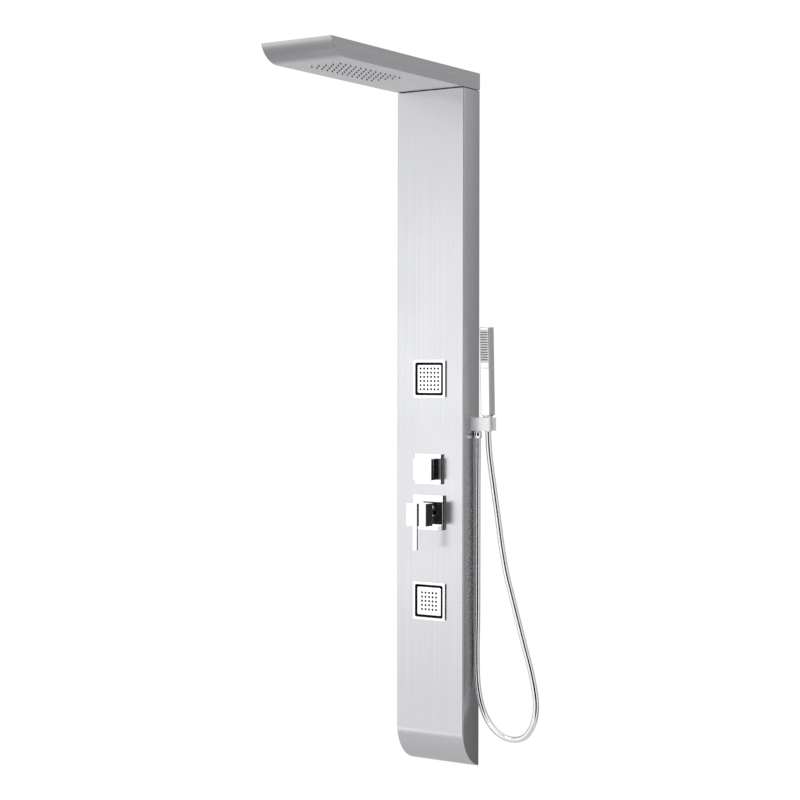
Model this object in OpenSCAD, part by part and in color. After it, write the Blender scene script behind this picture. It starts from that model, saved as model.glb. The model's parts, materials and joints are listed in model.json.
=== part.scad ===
// Rainfall shower column: a wall-hung stainless casing with a flat rain head, two body jets,
// a diverter, a lever mixer and a stick handset on a hose.
// The origin is the middle of the upper wall bracket's holes, on the wall. The wall is the plane
// Y = 0, the front faces -Y and +Z is up. Modules draw with Z = 0 at the foot; hung() lowers them.

/* [Casing] */
// Width of the casing and of the head
panel_w = 181; // [176:1:200]
// Depth of the casing from the wall to its front face
panel_d = 71; // [69:1:80]
// Height from the foot of the casing to the top of the head
column_h = 1600; // [1560:10:1700]
// Thickness of the stainless sheet
sheet = 1.5; // [1:0.1:2]
// Radius of the curve that brings the foot back to the wall
foot_r = 88; // [80:1:110]
// Height of the upper wall bracket's holes above the foot
upper_bracket_z = 1400; // [1300:10:1450]
// Height of the lower wall bracket's holes above the foot
lower_bracket_z = 180; // [150:10:210]
// Distance between the two holes of a wall bracket
bracket_pitch = 80; // [60:5:90]

/* [Rain head] */
// Reach of the head from the wall
head_l = 587; // [560:1:650]
// Thickness of the head
head_t = 38.5; // [36:0.5:45]
// Radius of the curve at the head's front end
head_nose_r = 60; // [55:1:80]
// Joint between the head and the casing
seam = 2; // [1:0.5:3]
// Distance between neighbouring rain nozzles
rain_pitch = 18.7; // [17:0.1:20]
// Distance from the wall to the nearest row of rain nozzles
rain_start = 255; // [245:1:270]

/* [Body jets] */
// Height of the upper jet's centre
upper_jet_z = 896.5; // [880:1:920]
// Height of the lower jet's centre
lower_jet_z = 383.5; // [370:1:400]
// Side of the square bezel
bezel = 88; // [84:1:92]
// Side of the moving face
jet_face_side = 64.5; // [60:0.5:66]
// Distance between neighbouring jet nozzles
jet_pitch = 9.6; // [8:0.1:10]

/* [Controls] */
// Height of the diverter's axis
diverter_z = 689; // [685:1:700]
// Side of the diverter's plate
diverter_plate_side = 70; // [60:1:74]
// Height of the mixer's axis
mixer_z = 589; // [585:1:593]
// Side of the mixer's plate
mixer_plate_side = 81; // [70:1:84]
// Side of the diverter's knob
knob_side = 50; // [44:1:52]
// Side of the mixer's handle block
handle_side = 53; // [48:1:54]
// Thickness of the two square plates
plate_t = 8; // [6:1:8]

/* [Handset side] */
// Depth of the handset, the hose outlet and the holder's middle, measured from the wall
side_depth = 23; // [22:0.5:25]
// Height of the holder's underside
holder_z = 778; // [760:1:790]
// Width of the handset
handset_w = 25; // [24:0.5:27]
// Length of the handset above its nut
handset_l = 205; // [200:1:230]
// Outer diameter of the hose
hose_d = 14; // [12:0.5:14.5]
// Forward lean of the handset in its holder, in degrees
lean = 1.8; // [0:0.1:3]

/* [Hidden] */
$fn = 48;
eps = 0.01;
big = 400;

// casing
half_w = panel_w / 2;
panel_h = column_h - head_t - seam;
curve_y = foot_r - panel_d;
curve_z = sqrt(foot_r * foot_r - curve_y * curve_y);
seal_t = 1.5;
seal_w = 10;
seal_edge = 1;
seal_foot = 5;
seal_top = panel_h - 2;
flange_w = 14;
flange_foot = 20;
flange_y = -seal_t - sheet;
top_plate_t = 3;
bar_h = 25;
bar_t = 2.6;
bracket_t = 3;
bracket_half = 56;
bracket_rise = 18;
bracket_lip = 28;
bracket_out = 9;
wall_hole_r = 3;
lock_screw_depth = 22;
lock_screw_z = 1548;
lock_screw_l = 8;
lock_head_r = 3.5;
lock_head_t = 1.6;
screw_r = 2;
screw_hole_r = 2.2;
thread_play = 0.02;

// head
head_z = column_h - head_t;
// depth at which the flat underside turns into the nose curve
head_nose_y = -head_l + sqrt(head_nose_r * head_nose_r - pow(head_nose_r - head_t, 2));
gasket_edge = 3;
gasket_w = 8;
bolt_r = 3;
bolt_l = 16;
bolt_head_r = 5;
bolt_head_t = 4;
bolt_clear = 0.3;
bolt_x = 60;
bolt_depths = [15, 55];
mounting_plate_t = 6;
mounting_half = 80;
mounting_near = 5;
mounting_far = 65;
rain_cols = 5;
rain_rows = 13;
nozzle_r = 2.1;
nozzle_tip_r = 1.5;
nozzle_drop = 2;
nozzle_rim_r = 3.2;
nozzle_rim_t = 1;
nozzle_play = 0.1;
chamber_half = 50;
chamber_t = 24;
chamber_wall = 2;
chamber_rear = 235;
chamber_front = 500;
chamber_z = head_z + sheet + nozzle_rim_t;
pipe_depth = 20;
pipe_r = 8;
pipe_bore = 6.5;
pipe_bend = 18;
pipe_hole_r = 10;

// jets
jet_gap_side = 73.5;
cup_side = 77.6;
cutout_side = 78;
bezel_t = 4;
bezel_corner = 4;
jet_face_t = 5;
jet_face_corner = 3;
jet_neck_r = 7;
jet_bore_r = 3;
jet_recess = 1.5;
ball_depth = 58;
ball_r = 11;
ring_r = 15;
ring_half = 5;
socket_r = 19;
socket_depth = 44.5;
socket_lip = 6;
play = 0.3;
jet_cup_depth = 50;
jet_cup_floor = 2;
jet_tail_depth = 30;
jet_tail_r = 11;
jet_tail_bore = 5;
jet_branch_depth = 38;
jet_nozzle_r = 2.2;
jet_nozzle_tip_r = 1.6;
jet_nozzle_out = 0.9;
jet_nozzle_in = 2;
jet_gasket_side = 86;
jet_gasket_t = 2;
lock_frame_t = 6;

// controls
knob_t = 17;
knob_front = 104;
neck_r = 15;
neck_gap = 0.5;
grub_r = 2;
grub_l = 17.5;
spindle_r = 6;
spindle_rear = 41;
spindle_socket = 6;
shaft_play = 0.05;
diverter_rotor_r = 9.5;
diverter_rotor = [22, 39.5];
diverter_tang_r = 4;
diverter_chamber_r = 10;
diverter_chamber = [14, 40];
diverter_body_r = 20;
diverter_body_rear = 8;
diverter_shoulder = 62;
diverter_thread_r = 16;
diverter_hole_r = 17;
lock_nut_r = 24;
lock_nut_depth = 64;
port_r = 11;
port_l = 30;
side_port_r = 9;
side_port_x = diverter_body_r + 8;
sleeve_r = 18;
sleeve_bore = 15;
sleeve_front = 90;
pivot_depth = 86;
dome_r = 14.5;
dome_wall = 1.8;
stem_r = 10;
stem_bar = [5.3, 12, 4.5];
stem_pin_l = 16.8;
pin_r = 2;
spigot_r = 5.95;
spigot_l = 16;
handle_drop = 2.5;
handle_rear = 99;
handle_front = 129.5;
lever_w = 11;
lever_t = 5;
lever_l = 107.5;
cartridge_r = 17.5;
cartridge_rear = 34.2;
cartridge_neck_r = 12;
cartridge_front = 76.5;
cartridge_bore_depth = 50;
cartridge_nut_r = 19.5;
rotor_r = 9;
rotor_rear = 52;
rotor_front = 76.8;
ear_rear = 76.6;
ear_x = 7;
ear_half_t = 1.5;
ear_reach = 5;
mixer_hole_r = 20;
mixer_body_r = 24;
mixer_body_rear = 20;
mixer_body_front = 66;
mixer_chamber_rear = 34;
mixer_port_l = 31;
arm_x = 50;
arm_depth = 40;
arm_r = 11;
arm_bore = 5;
arm_drop = 15;
arm_rise = 11;
hose_bend = 28;
inlet_drop = 97;
inlet_hose_r = 7;
union_nut_r = 15;
union_r = 10.5;
union_l = 14;
union_thread = 10;
manifold_x = -74;
branch_r = 6;
branch_bore = 4.5;
riser_end = 8;
riser_wall = 4;
riser_x = 60;
riser_bend = 14;
riser_tip = 18;

// handset side
outlet_x = half_w + 10;
cradle_x = half_w + 37;
holder_w = 49.5;
holder_d = 30;
holder_h = 30;
holder_screw_at = 11.5;
holder_screw_l = 12;
holder_screw_head = 2.5;
elbow_r = 8.5;
elbow_z = holder_z + holder_h / 2;
back_nut_r = 12;
back_nut_t = 6;
nut_drop = 18;
nipple_r = 6.4;
nipple_l = 13;
fork_gap = 15;
cone_reach = 18;
cone_low_r = 7.8;
cone_high_r = 11;
grip_z = holder_z + holder_h + 2;
grip_neck_r = 11.5;
grip_neck_l = 5;
grip_bore = 6;
grip_floor = 3;
handset_d = 24;
handset_seam = 112;
handset_gap = 0.25;
handset_bore_l = 40;
corner_r = 2;
face_low = 124;
face_high = 200;
face_half = 9.75;
face_t = 2.5;
face_play = 0.05;
water_half = 7;
water_end = 4;
spray_rows = 12;
spray_pitch = 5.7;
spray_first = 131;
strip_w = 18.5;
strip_h = 2.2;
strip_t = 0.5;
spray_nubs = 5;
nub_pitch = 4;
nub_r = 1;
nub_tip_r = 0.7;
nub_out = 0.6;
handset_nut_low = -17;
handset_nut_l = 34;
handset_nut_low_r = 7.5;
handset_nut_high_r = 10.5;

// route of the shower hose as [X, Z], from the outlet nut round the loop to the handset's nut
hose_route = [
  [100.5, 760], [100.5, 720], [100, 660], [100, 590], [100, 520], [100, 450], [100, 390],
  [99.5, 335], [98.5, 290], [98.5, 250], [99.5, 215], [103.5, 180], [113, 143], [129, 112.5],
  [150.5, 90], [176, 78], [202, 76.5], [225, 85], [241, 103], [251.5, 129], [255, 160], [251, 194],
  [241, 238], [226, 287], [209.5, 342], [193, 398], [177, 453], [165.5, 509], [156, 568],
  [146.5, 627], [137, 686], [130.5, 733], [127.5, 776]
];
hose_steps = 2;
hose_sides = 10;

module hung() { translate([0, 0, -upper_bracket_z]) children(); }

// a block from one corner to the opposite one
module slab(low, high) { translate(low) cube(high - low); }

// a cylinder that points from the wall to the front, between two depths
module forward(r, near, far, x = 0, z = 0, sides = 48) {
  translate([x, -near, z]) rotate([90, 0, 0]) cylinder(r = r, h = far - near, $fn = sides);
}

// a square block about (0, z), between two depths
module square_block(side, near, far, z) {
  slab([-side / 2, -far, z - side / 2], [side / 2, -near, z + side / 2]);
}

// a square block with round vertical corners
module rounded_plate(side, r, near, far, z) {
  inner = side / 2 - r;
  slab([-side / 2, -far, z - inner], [side / 2, -near, z + inner]);
  slab([-inner, -far, z - side / 2], [inner, -near, z + side / 2]);
  for (sx = [-1, 1], sz = [-1, 1]) forward(r, near, far, sx * inner, z + sz * inner);
}

module square_frame(outer, inner, near, far, z) {
  difference() {
    square_block(outer, near, far, z);
    square_block(inner, near - 1, far + 1, z);
  }
}

// ---- casing ----

// the casing's outer form, made smaller all round by inset
module casing_form(inset, top) {
  x = half_w - inset;
  slab([-x, inset - panel_d, curve_z], [x, 0, top]);
  intersection() {
    slab([-x, inset - panel_d, -1], [x, 0, curve_z + eps]);
    translate([-x, curve_y, curve_z]) rotate([0, 90, 0])
      cylinder(r = foot_r - inset, h = 2 * x, $fn = 96);
  }
}

// places children on one of the holder's two screw axes, pointing out to the side from x
module holder_screw_place(x, s) {
  translate([x, -side_depth + holder_screw_at * s, elbow_z - holder_screw_at * s]) rotate([0, 90, 0])
    children();
}

module panel_shell() {
  color([0.78, 0.78, 0.79]) {
    difference() {
      casing_form(0, panel_h);
      casing_form(sheet, panel_h + 1);
      slab([-big, -seal_t, -2], [big, 1, panel_h + 2]);
      for (z = [upper_jet_z, lower_jet_z]) square_block(cutout_side, panel_d - 10, panel_d + 10, z);
      forward(diverter_hole_r, panel_d - 10, panel_d + 10, 0, diverter_z);
      forward(mixer_hole_r, panel_d - 10, panel_d + 10, 0, mixer_z);
      translate([half_w - 5, -side_depth, elbow_z]) rotate([0, 90, 0])
        cylinder(r = elbow_r + bolt_clear, h = 10);
      for (s = [-1, 1])
        holder_screw_place(half_w - 5, s) cylinder(r = screw_hole_r, h = 10);
      for (s = [-1, 1])
        translate([s * half_w, -lock_screw_depth, lock_screw_z]) rotate([0, 90, 0])
          cylinder(r = screw_hole_r, h = 10, center = true);
    }
    for (s = [-1, 1])
      translate([s * (half_w - sheet - flange_w / 2), flange_y + sheet / 2, (panel_h + flange_foot) / 2])
        cube([flange_w, sheet, panel_h - flange_foot], center = true);
  }
}

module panel_top_plate() {
  color("silver") difference() {
    slab([sheet - half_w, sheet - panel_d, panel_h - top_plate_t], [half_w - sheet, flange_y, panel_h]);
    translate([0, -pipe_depth, panel_h - 10]) cylinder(r = pipe_hole_r, h = 20);
    head_bolt_holes(bolt_r + bolt_clear);
  }
}

module rear_seal_strip() {
  x = half_w - seal_edge;
  color([0.08, 0.08, 0.08]) difference() {
    slab([-x, -seal_t, seal_foot], [x, 0, seal_top]);
    slab([seal_w - x, -seal_t - 1, seal_foot + seal_w], [x - seal_w, 1, seal_top - seal_w]);
  }
}

module wall_bracket(z) {
  color("darkgray") difference() {
    union() {
      slab([-bracket_half, -bracket_t, z - bracket_rise], [bracket_half, 0, z + bracket_rise]);
      slab([-bracket_half, -bracket_out, z + bracket_rise - bracket_t],
           [bracket_half, 0, z + bracket_rise]);
      slab([-bracket_half, -bracket_out, z + bracket_rise - bracket_t],
           [bracket_half, bracket_t - bracket_out, z + bracket_lip]);
    }
    for (s = [-1, 1]) forward(wall_hole_r, -10, 30, s * bracket_pitch / 2, z);
  }
}
module upper_wall_bracket() { wall_bracket(upper_bracket_z); }
module lower_wall_bracket() { wall_bracket(lower_bracket_z); }

// a bar welded across the casing's rear flanges, which drops behind the bracket's lip
module hanging_bar(z) {
  color("gray")
    slab([sheet - half_w, flange_y - bar_t, z + bracket_rise],
         [half_w - sheet, flange_y, z + bracket_rise + bar_h]);
}
module upper_hanging_bar() { hanging_bar(upper_bracket_z); }
module lower_hanging_bar() { hanging_bar(lower_bracket_z); }

module side_lock_screws() {
  color("lightgray") for (s = [-1, 1])
    translate([s * half_w, -lock_screw_depth, lock_screw_z]) rotate([0, s * 90, 0]) {
      cylinder(r = lock_head_r, h = lock_head_t);
      translate([0, 0, -lock_screw_l]) cylinder(r = screw_r, h = lock_screw_l);
    }
}

// ---- rain head ----

module head_form(inset) {
  x = half_w - inset;
  intersection() {
    slab([-x, inset - head_l, head_z + inset], [x, -inset, column_h - inset]);
    union() {
      slab([-x, head_nose_r - head_l, head_z + inset], [x, 0, column_h]);
      translate([-x, head_nose_y, head_z + head_nose_r]) rotate([0, 90, 0])
        cylinder(r = head_nose_r - inset, h = 2 * x, $fn = 96);
      slab([-x, head_nose_y, head_z + inset], [x, 0, column_h]);
    }
  }
}

module head_bolt_holes(r) {
  for (s = [-1, 1], d = bolt_depths)
    translate([s * bolt_x, -d, panel_h - 10]) cylinder(r = r, h = 40);
}

module seam_gasket() {
  x = half_w - gasket_edge;
  front = gasket_edge - panel_d;
  color([0.06, 0.06, 0.06]) difference() {
    slab([-x, front, panel_h], [x, -gasket_edge, head_z]);
    slab([gasket_w - x, front + gasket_w, panel_h - 1],
         [x - gasket_w, -gasket_edge - gasket_w, head_z + 1]);
  }
}

module head_shell() {
  color([0.72, 0.72, 0.73]) difference() {
    head_form(0);
    slab([sheet - half_w, -head_l - 1, head_z - 1], [half_w - sheet, -sheet, column_h - sheet]);
  }
}

module rain_places() {
  for (i = [0 : rain_cols - 1], j = [0 : rain_rows - 1])
    translate([(i - (rain_cols - 1) / 2) * rain_pitch, -rain_start - j * rain_pitch, head_z]) children();
}

module head_underplate() {
  color([0.8, 0.8, 0.81]) difference() {
    intersection() {
      head_form(0);
      slab([sheet - half_w, -head_l, head_z - 1], [half_w - sheet, -sheet, column_h - sheet]);
    }
    head_form(sheet);
    slab([-big, -head_l + head_nose_r, head_z + sheet], [big, 1, column_h]);
    rain_places() translate([0, 0, -1]) cylinder(r = nozzle_r + nozzle_play, h = 4, $fn = 24);
    translate([0, -pipe_depth, head_z - 1]) cylinder(r = pipe_hole_r, h = 4);
    head_bolt_holes(bolt_r + bolt_clear);
  }
}

module head_mounting_plate() {
  color("gray") difference() {
    slab([-mounting_half, -mounting_far, head_z + sheet],
         [mounting_half, -mounting_near, head_z + sheet + mounting_plate_t]);
    translate([0, -pipe_depth, head_z]) cylinder(r = pipe_hole_r, h = 20);
    slab([-pipe_hole_r, -panel_d, head_z], [pipe_hole_r, -pipe_depth, column_h]);
    head_bolt_holes(bolt_r + thread_play);
  }
}

module head_bolts() {
  color("silver") for (s = [-1, 1], d = bolt_depths)
    translate([s * bolt_x, -d, panel_h - top_plate_t]) {
      translate([0, 0, -bolt_head_t]) cylinder(r = bolt_head_r, h = bolt_head_t, $fn = 6);
      cylinder(r = bolt_r, h = bolt_l);
    }
}

module rain_nozzles() {
  color([0.35, 0.36, 0.37]) rain_places() {
    translate([0, 0, -nozzle_drop]) cylinder(r1 = nozzle_tip_r, r2 = nozzle_r, h = nozzle_drop, $fn = 24);
    cylinder(r = nozzle_r, h = sheet, $fn = 24);
    translate([0, 0, sheet]) cylinder(r = nozzle_rim_r, h = nozzle_rim_t, $fn = 24);
  }
}

module rain_water_chamber() {
  color([0.85, 0.85, 0.82]) difference() {
    slab([-chamber_half, -chamber_front, chamber_z], [chamber_half, -chamber_rear, chamber_z + chamber_t]);
    slab([chamber_wall - chamber_half, chamber_wall - chamber_front, chamber_z + chamber_wall],
         [chamber_half - chamber_wall, -chamber_rear - chamber_wall, chamber_z + chamber_t - chamber_wall]);
    forward(pipe_bore, chamber_rear - 1, chamber_rear + 4, 0, head_z + pipe_bend);
  }
}

// pipe from the diverter up into the head, where it bends forward to the chamber
module head_supply_tube() {
  color([0.72, 0.45, 0.3]) {
    tube_up(pipe_depth, diverter_z + port_l, head_z);
    translate([0, -pipe_depth - pipe_bend, head_z]) rotate([90, 0, 90])
      rotate_extrude(angle = 90) pipe_ring(pipe_bend);
    difference() {
      forward(pipe_r, pipe_depth + pipe_bend, chamber_rear, 0, head_z + pipe_bend);
      forward(pipe_bore, pipe_depth, chamber_rear + 1, 0, head_z + pipe_bend);
    }
  }
}

module pipe_ring(radius) {
  translate([radius, 0]) difference() {
    circle(r = pipe_r);
    circle(r = pipe_bore);
  }
}

module tube_up(depth, low, high) {
  translate([0, -depth, low]) difference() {
    cylinder(r = pipe_r, h = high - low);
    translate([0, 0, -1]) cylinder(r = pipe_bore, h = high - low + 2);
  }
}

// ---- body jets ----

module jet_bezel(z) {
  color([0.85, 0.85, 0.86]) difference() {
    rounded_plate(bezel, bezel_corner, panel_d, panel_d + bezel_t, z);
    rounded_plate(jet_gap_side, bezel_corner, panel_d - 1, panel_d + bezel_t + 1, z);
  }
}

// a body of revolution about a jet's axis: the profile's height is counted forward from the ball
module about_ball(z) { translate([0, -ball_depth, z]) rotate([90, 0, 0]) rotate_extrude() children(); }

// black cup behind the face, with the socket that holds the swivel ring and its ball
module jet_housing(z) {
  rear = ball_depth - socket_depth;
  color([0.05, 0.05, 0.05]) difference() {
    union() {
      square_frame(cup_side, jet_gap_side, jet_cup_depth, panel_d, z);
      difference() {
        square_block(cup_side, jet_cup_depth, jet_cup_depth + jet_cup_floor, z);
        forward(socket_r - 1, jet_cup_depth - 1, jet_cup_depth + jet_cup_floor + 1, 0, z);
      }
      about_ball(z) difference() {
        translate([0, -rear]) square([socket_r, rear + socket_lip]);
        intersection() {
          circle(r = ring_r + play, $fn = 64);
          translate([0, -ball_r - play]) square([socket_r, 2 * socket_r]);
        }
      }
      forward(jet_tail_r, jet_tail_depth, socket_depth + 1, 0, z);
    }
    forward(jet_tail_bore, jet_tail_depth + 3, ball_depth - ball_r, 0, z);
    translate([-jet_tail_r - 1, -jet_branch_depth, z]) rotate([0, 90, 0])
      cylinder(r = branch_bore, h = jet_tail_r + 1);
  }
}

module jet_swivel_ring(z) {
  color([0.3, 0.3, 0.3]) about_ball(z) intersection() {
    difference() {
      circle(r = ring_r, $fn = 64);
      circle(r = ball_r + play, $fn = 64);
    }
    translate([0, -ring_half]) square([ring_r + 1, 2 * ring_half]);
  }
}

module jet_grid(count, z) {
  for (i = [0 : count - 1], j = [0 : count - 1])
    translate([(i - (count - 1) / 2) * jet_pitch, jet_recess - panel_d - bezel_t,
               z + (j - (count - 1) / 2) * jet_pitch]) rotate([90, 0, 0]) children();
}

module jet_face(count, z) {
  front = panel_d + bezel_t - jet_recess;
  color([0.85, 0.85, 0.86]) difference() {
    union() {
      rounded_plate(jet_face_side, jet_face_corner, front - jet_face_t, front, z);
      forward(jet_neck_r, ball_depth, front - jet_face_t + 1, 0, z);
      translate([0, -ball_depth, z]) sphere(r = ball_r, $fn = 64);
    }
    forward(jet_bore_r, ball_depth - ball_r - 1, front - jet_face_t / 2, 0, z);
    jet_grid(count, z) translate([0, 0, -jet_nozzle_in])
      cylinder(r = jet_nozzle_r + nozzle_play, h = jet_nozzle_in + 1, $fn = 20);
  }
}

module jet_nozzles(count, z) {
  color([0.12, 0.12, 0.12]) jet_grid(count, z) {
    translate([0, 0, -jet_nozzle_in]) cylinder(r = jet_nozzle_r, h = jet_nozzle_in, $fn = 20);
    cylinder(r1 = jet_nozzle_r, r2 = jet_nozzle_tip_r, h = jet_nozzle_out, $fn = 20);
  }
}

module upper_jet_bezel() { jet_bezel(upper_jet_z); }
module lower_jet_bezel() { jet_bezel(lower_jet_z); }
module upper_jet_housing() { jet_housing(upper_jet_z); }
module lower_jet_housing() { jet_housing(lower_jet_z); }
module upper_jet_swivel_ring() { jet_swivel_ring(upper_jet_z); }
module lower_jet_swivel_ring() { jet_swivel_ring(lower_jet_z); }
module upper_jet_face() { jet_face(6, upper_jet_z); }
module lower_jet_face() { jet_face(5, lower_jet_z); }
module upper_jet_nozzles() { jet_nozzles(6, upper_jet_z); }
module lower_jet_nozzles() { jet_nozzles(5, lower_jet_z); }

module jet_gaskets() {
  color([0.1, 0.1, 0.1]) for (z = [upper_jet_z, lower_jet_z])
    square_frame(jet_gasket_side, cutout_side, panel_d - sheet - jet_gasket_t, panel_d - sheet, z);
}

module jet_lock_frames() {
  front = panel_d - sheet - jet_gasket_t;
  color([0.25, 0.25, 0.26]) for (z = [upper_jet_z, lower_jet_z])
    square_frame(jet_gasket_side, cutout_side, front - lock_frame_t, front, z);
}

// one riser on the left with a branch to each jet and one from the diverter
module jet_supply_manifold() {
  run = upper_jet_z - lower_jet_z;
  color([0.72, 0.45, 0.3]) difference() {
    union() {
      translate([manifold_x, -jet_branch_depth, lower_jet_z - riser_end])
        cylinder(r = branch_r, h = run + 2 * riser_end);
      for (z = [lower_jet_z, upper_jet_z]) manifold_branch(z, -jet_tail_r, branch_r);
      manifold_branch(diverter_z, -side_port_x, branch_r);
    }
    translate([manifold_x, -jet_branch_depth, lower_jet_z - riser_wall])
      cylinder(r = branch_bore, h = run + 2 * riser_wall);
    for (z = [lower_jet_z, upper_jet_z, diverter_z]) manifold_branch(z, 1, branch_bore);
  }
}
module manifold_branch(z, end_x, r) {
  translate([manifold_x, -jet_branch_depth, z]) rotate([0, 90, 0])
    cylinder(r = r, h = end_x - manifold_x);
}

// ---- diverter ----

module diverter_valve_body() {
  color([0.75, 0.6, 0.3]) difference() {
    union() {
      forward(diverter_body_r, diverter_body_rear, diverter_shoulder, 0, diverter_z);
      forward(diverter_thread_r, diverter_shoulder, panel_d, 0, diverter_z);
      translate([0, -pipe_depth, diverter_z]) cylinder(r = port_r, h = port_l);
      translate([0, -arm_depth, diverter_z - port_l]) cylinder(r = port_r, h = port_l);
      translate([-side_port_x, -jet_branch_depth, diverter_z]) rotate([0, 90, 0])
        cylinder(r = side_port_r, h = diverter_body_r);
      translate([0, -side_depth, diverter_z]) rotate([0, 90, 0]) cylinder(r = side_port_r, h = side_port_x);
    }
    forward(spindle_r + shaft_play, diverter_chamber[1], panel_d + 1, 0, diverter_z);
    forward(diverter_chamber_r, diverter_chamber[0], diverter_chamber[1], 0, diverter_z);
    translate([0, -pipe_depth, diverter_z]) cylinder(r = pipe_bore, h = port_l + 1);
    translate([0, -arm_depth, diverter_z - port_l - 1]) cylinder(r = pipe_bore, h = port_l - 6);
    translate([-side_port_x - 1, -jet_branch_depth, diverter_z]) rotate([0, 90, 0])
      cylinder(r = branch_bore, h = side_port_x - 4);
    translate([0, -side_depth, diverter_z]) rotate([0, 90, 0])
      cylinder(r = branch_bore, h = side_port_x + 1);
  }
}

module diverter_lock_nut() {
  color([0.75, 0.6, 0.3]) difference() {
    forward(lock_nut_r, lock_nut_depth, panel_d - sheet, 0, diverter_z, 6);
    forward(diverter_thread_r + shaft_play, lock_nut_depth - 1, panel_d, 0, diverter_z);
  }
}

module diverter_plate() {
  color([0.85, 0.85, 0.86]) difference() {
    rounded_plate(diverter_plate_side, 1, panel_d, panel_d + plate_t, diverter_z);
    forward(spindle_r + 4, panel_d - 1, panel_d + plate_t + 1, 0, diverter_z);
  }
}

module diverter_spindle() {
  color("silver") {
    forward(spindle_r, spindle_rear, knob_front - spindle_socket, 0, diverter_z);
    forward(diverter_rotor_r, diverter_rotor[0], diverter_rotor[1], 0, diverter_z);
    forward(diverter_tang_r, diverter_rotor[1] - 0.5, spindle_rear + 1, 0, diverter_z);
  }
}

module diverter_knob() {
  color([0.85, 0.85, 0.86]) difference() {
    union() {
      rounded_plate(knob_side, 1, knob_front - knob_t, knob_front, diverter_z);
      forward(neck_r, panel_d + plate_t + neck_gap, knob_front - knob_t, 0, diverter_z);
    }
    forward(spindle_r + thread_play, panel_d, knob_front - spindle_socket, 0, diverter_z);
    translate([0, -knob_front + knob_t / 2, diverter_z - knob_side])
      cylinder(r = grub_r + shaft_play, h = knob_side);
  }
}

module diverter_grub_screw() {
  color([0.2, 0.2, 0.2])
    translate([0, -knob_front + knob_t / 2, diverter_z - knob_side / 2 + 1])
      cylinder(r = grub_r, h = grub_l);
}

// ---- mixer ----

module mixer_valve_body() {
  color([0.75, 0.6, 0.3]) difference() {
    union() {
      forward(mixer_body_r, mixer_body_rear, mixer_body_front, 0, mixer_z);
      translate([-arm_x, -arm_depth, mixer_z]) rotate([0, 90, 0]) cylinder(r = arm_r, h = 2 * arm_x);
      for (s = [-1, 1])
        translate([s * arm_x, -arm_depth, mixer_z - arm_drop]) cylinder(r = arm_r, h = arm_drop + arm_rise);
      translate([0, -arm_depth, mixer_z]) cylinder(r = port_r, h = mixer_port_l);
    }
    forward(cartridge_r + shaft_play, mixer_chamber_rear, mixer_body_front + 1, 0, mixer_z);
    translate([-arm_x, -arm_depth, mixer_z]) rotate([0, 90, 0]) cylinder(r = arm_bore, h = 2 * arm_x);
    for (s = [-1, 1])
      translate([s * arm_x, -arm_depth, mixer_z - arm_drop - 1]) cylinder(r = arm_bore, h = arm_drop + 5);
    translate([0, -arm_depth, mixer_z]) cylinder(r = pipe_bore, h = mixer_port_l + 1);
  }
}

module mixer_cartridge() {
  color([0.9, 0.9, 0.88]) difference() {
    union() {
      forward(cartridge_r, cartridge_rear, mixer_body_front, 0, mixer_z);
      forward(cartridge_neck_r, mixer_body_front, cartridge_front, 0, mixer_z);
    }
    forward(rotor_r + shaft_play, cartridge_bore_depth, cartridge_front + 1, 0, mixer_z);
  }
}

module cartridge_retaining_nut() {
  color([0.75, 0.6, 0.3]) difference() {
    forward(cartridge_nut_r, mixer_body_front, panel_d, 0, mixer_z);
    forward(cartridge_neck_r + shaft_play, mixer_body_front - 1, panel_d + 1, 0, mixer_z);
  }
}

module mixer_plate() {
  color([0.85, 0.85, 0.86]) difference() {
    rounded_plate(mixer_plate_side, 1, panel_d, panel_d + plate_t, mixer_z);
    forward(sleeve_r + shaft_play, panel_d - 1, panel_d + plate_t + 1, 0, mixer_z);
  }
}

module mixer_sleeve() {
  color([0.85, 0.85, 0.86]) difference() {
    forward(sleeve_r, panel_d, sleeve_front, 0, mixer_z);
    forward(sleeve_bore, panel_d - 1, sleeve_front + 1, 0, mixer_z);
  }
}

// turns in the cartridge and carries the stem's pin between two ears
module cartridge_rotor() {
  color([0.5, 0.5, 0.52]) difference() {
    union() {
      forward(rotor_r, rotor_rear, rotor_front, 0, mixer_z);
      for (s = [-1, 1])
        slab([s * ear_x - ear_half_t, -pivot_depth - ear_reach, mixer_z - ear_reach],
             [s * ear_x + ear_half_t, -ear_rear, mixer_z + ear_reach]);
    }
    translate([-20, -pivot_depth, mixer_z]) rotate([0, 90, 0]) cylinder(r = pin_r + shaft_play, h = 40);
  }
}

// dome, bar, pin and spigot that tilt together
module mixer_stem() {
  color([0.85, 0.85, 0.86]) {
    difference() {
      union() {
        translate([0, -pivot_depth, mixer_z]) sphere(r = dome_r, $fn = 64);
        forward(stem_r, pivot_depth + 5, handle_rear, 0, mixer_z);
      }
      translate([0, -pivot_depth, mixer_z]) sphere(r = dome_r - dome_wall, $fn = 64);
      slab([-big, -pivot_depth - 2, mixer_z - big], [big, 0, mixer_z + big]);
      slab([-big, -handle_rear - big, mixer_z - big], [big, -handle_rear, mixer_z + big]);
    }
    slab([-stem_bar[0], -pivot_depth - stem_bar[1], mixer_z - stem_bar[2]],
         [stem_bar[0], stem_bar[2] - pivot_depth, mixer_z + stem_bar[2]]);
    translate([-stem_pin_l / 2, -pivot_depth, mixer_z]) rotate([0, 90, 0])
      cylinder(r = pin_r, h = stem_pin_l);
    forward(spigot_r, handle_rear - 1, handle_rear + spigot_l, 0, mixer_z);
  }
}

module mixer_handle_block() {
  color([0.85, 0.85, 0.86]) difference() {
    rounded_plate(handle_side, 1, handle_rear, handle_front, mixer_z - handle_drop);
    forward(spigot_r + thread_play, handle_rear - 1, handle_rear + spigot_l, 0, mixer_z);
  }
}

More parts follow.
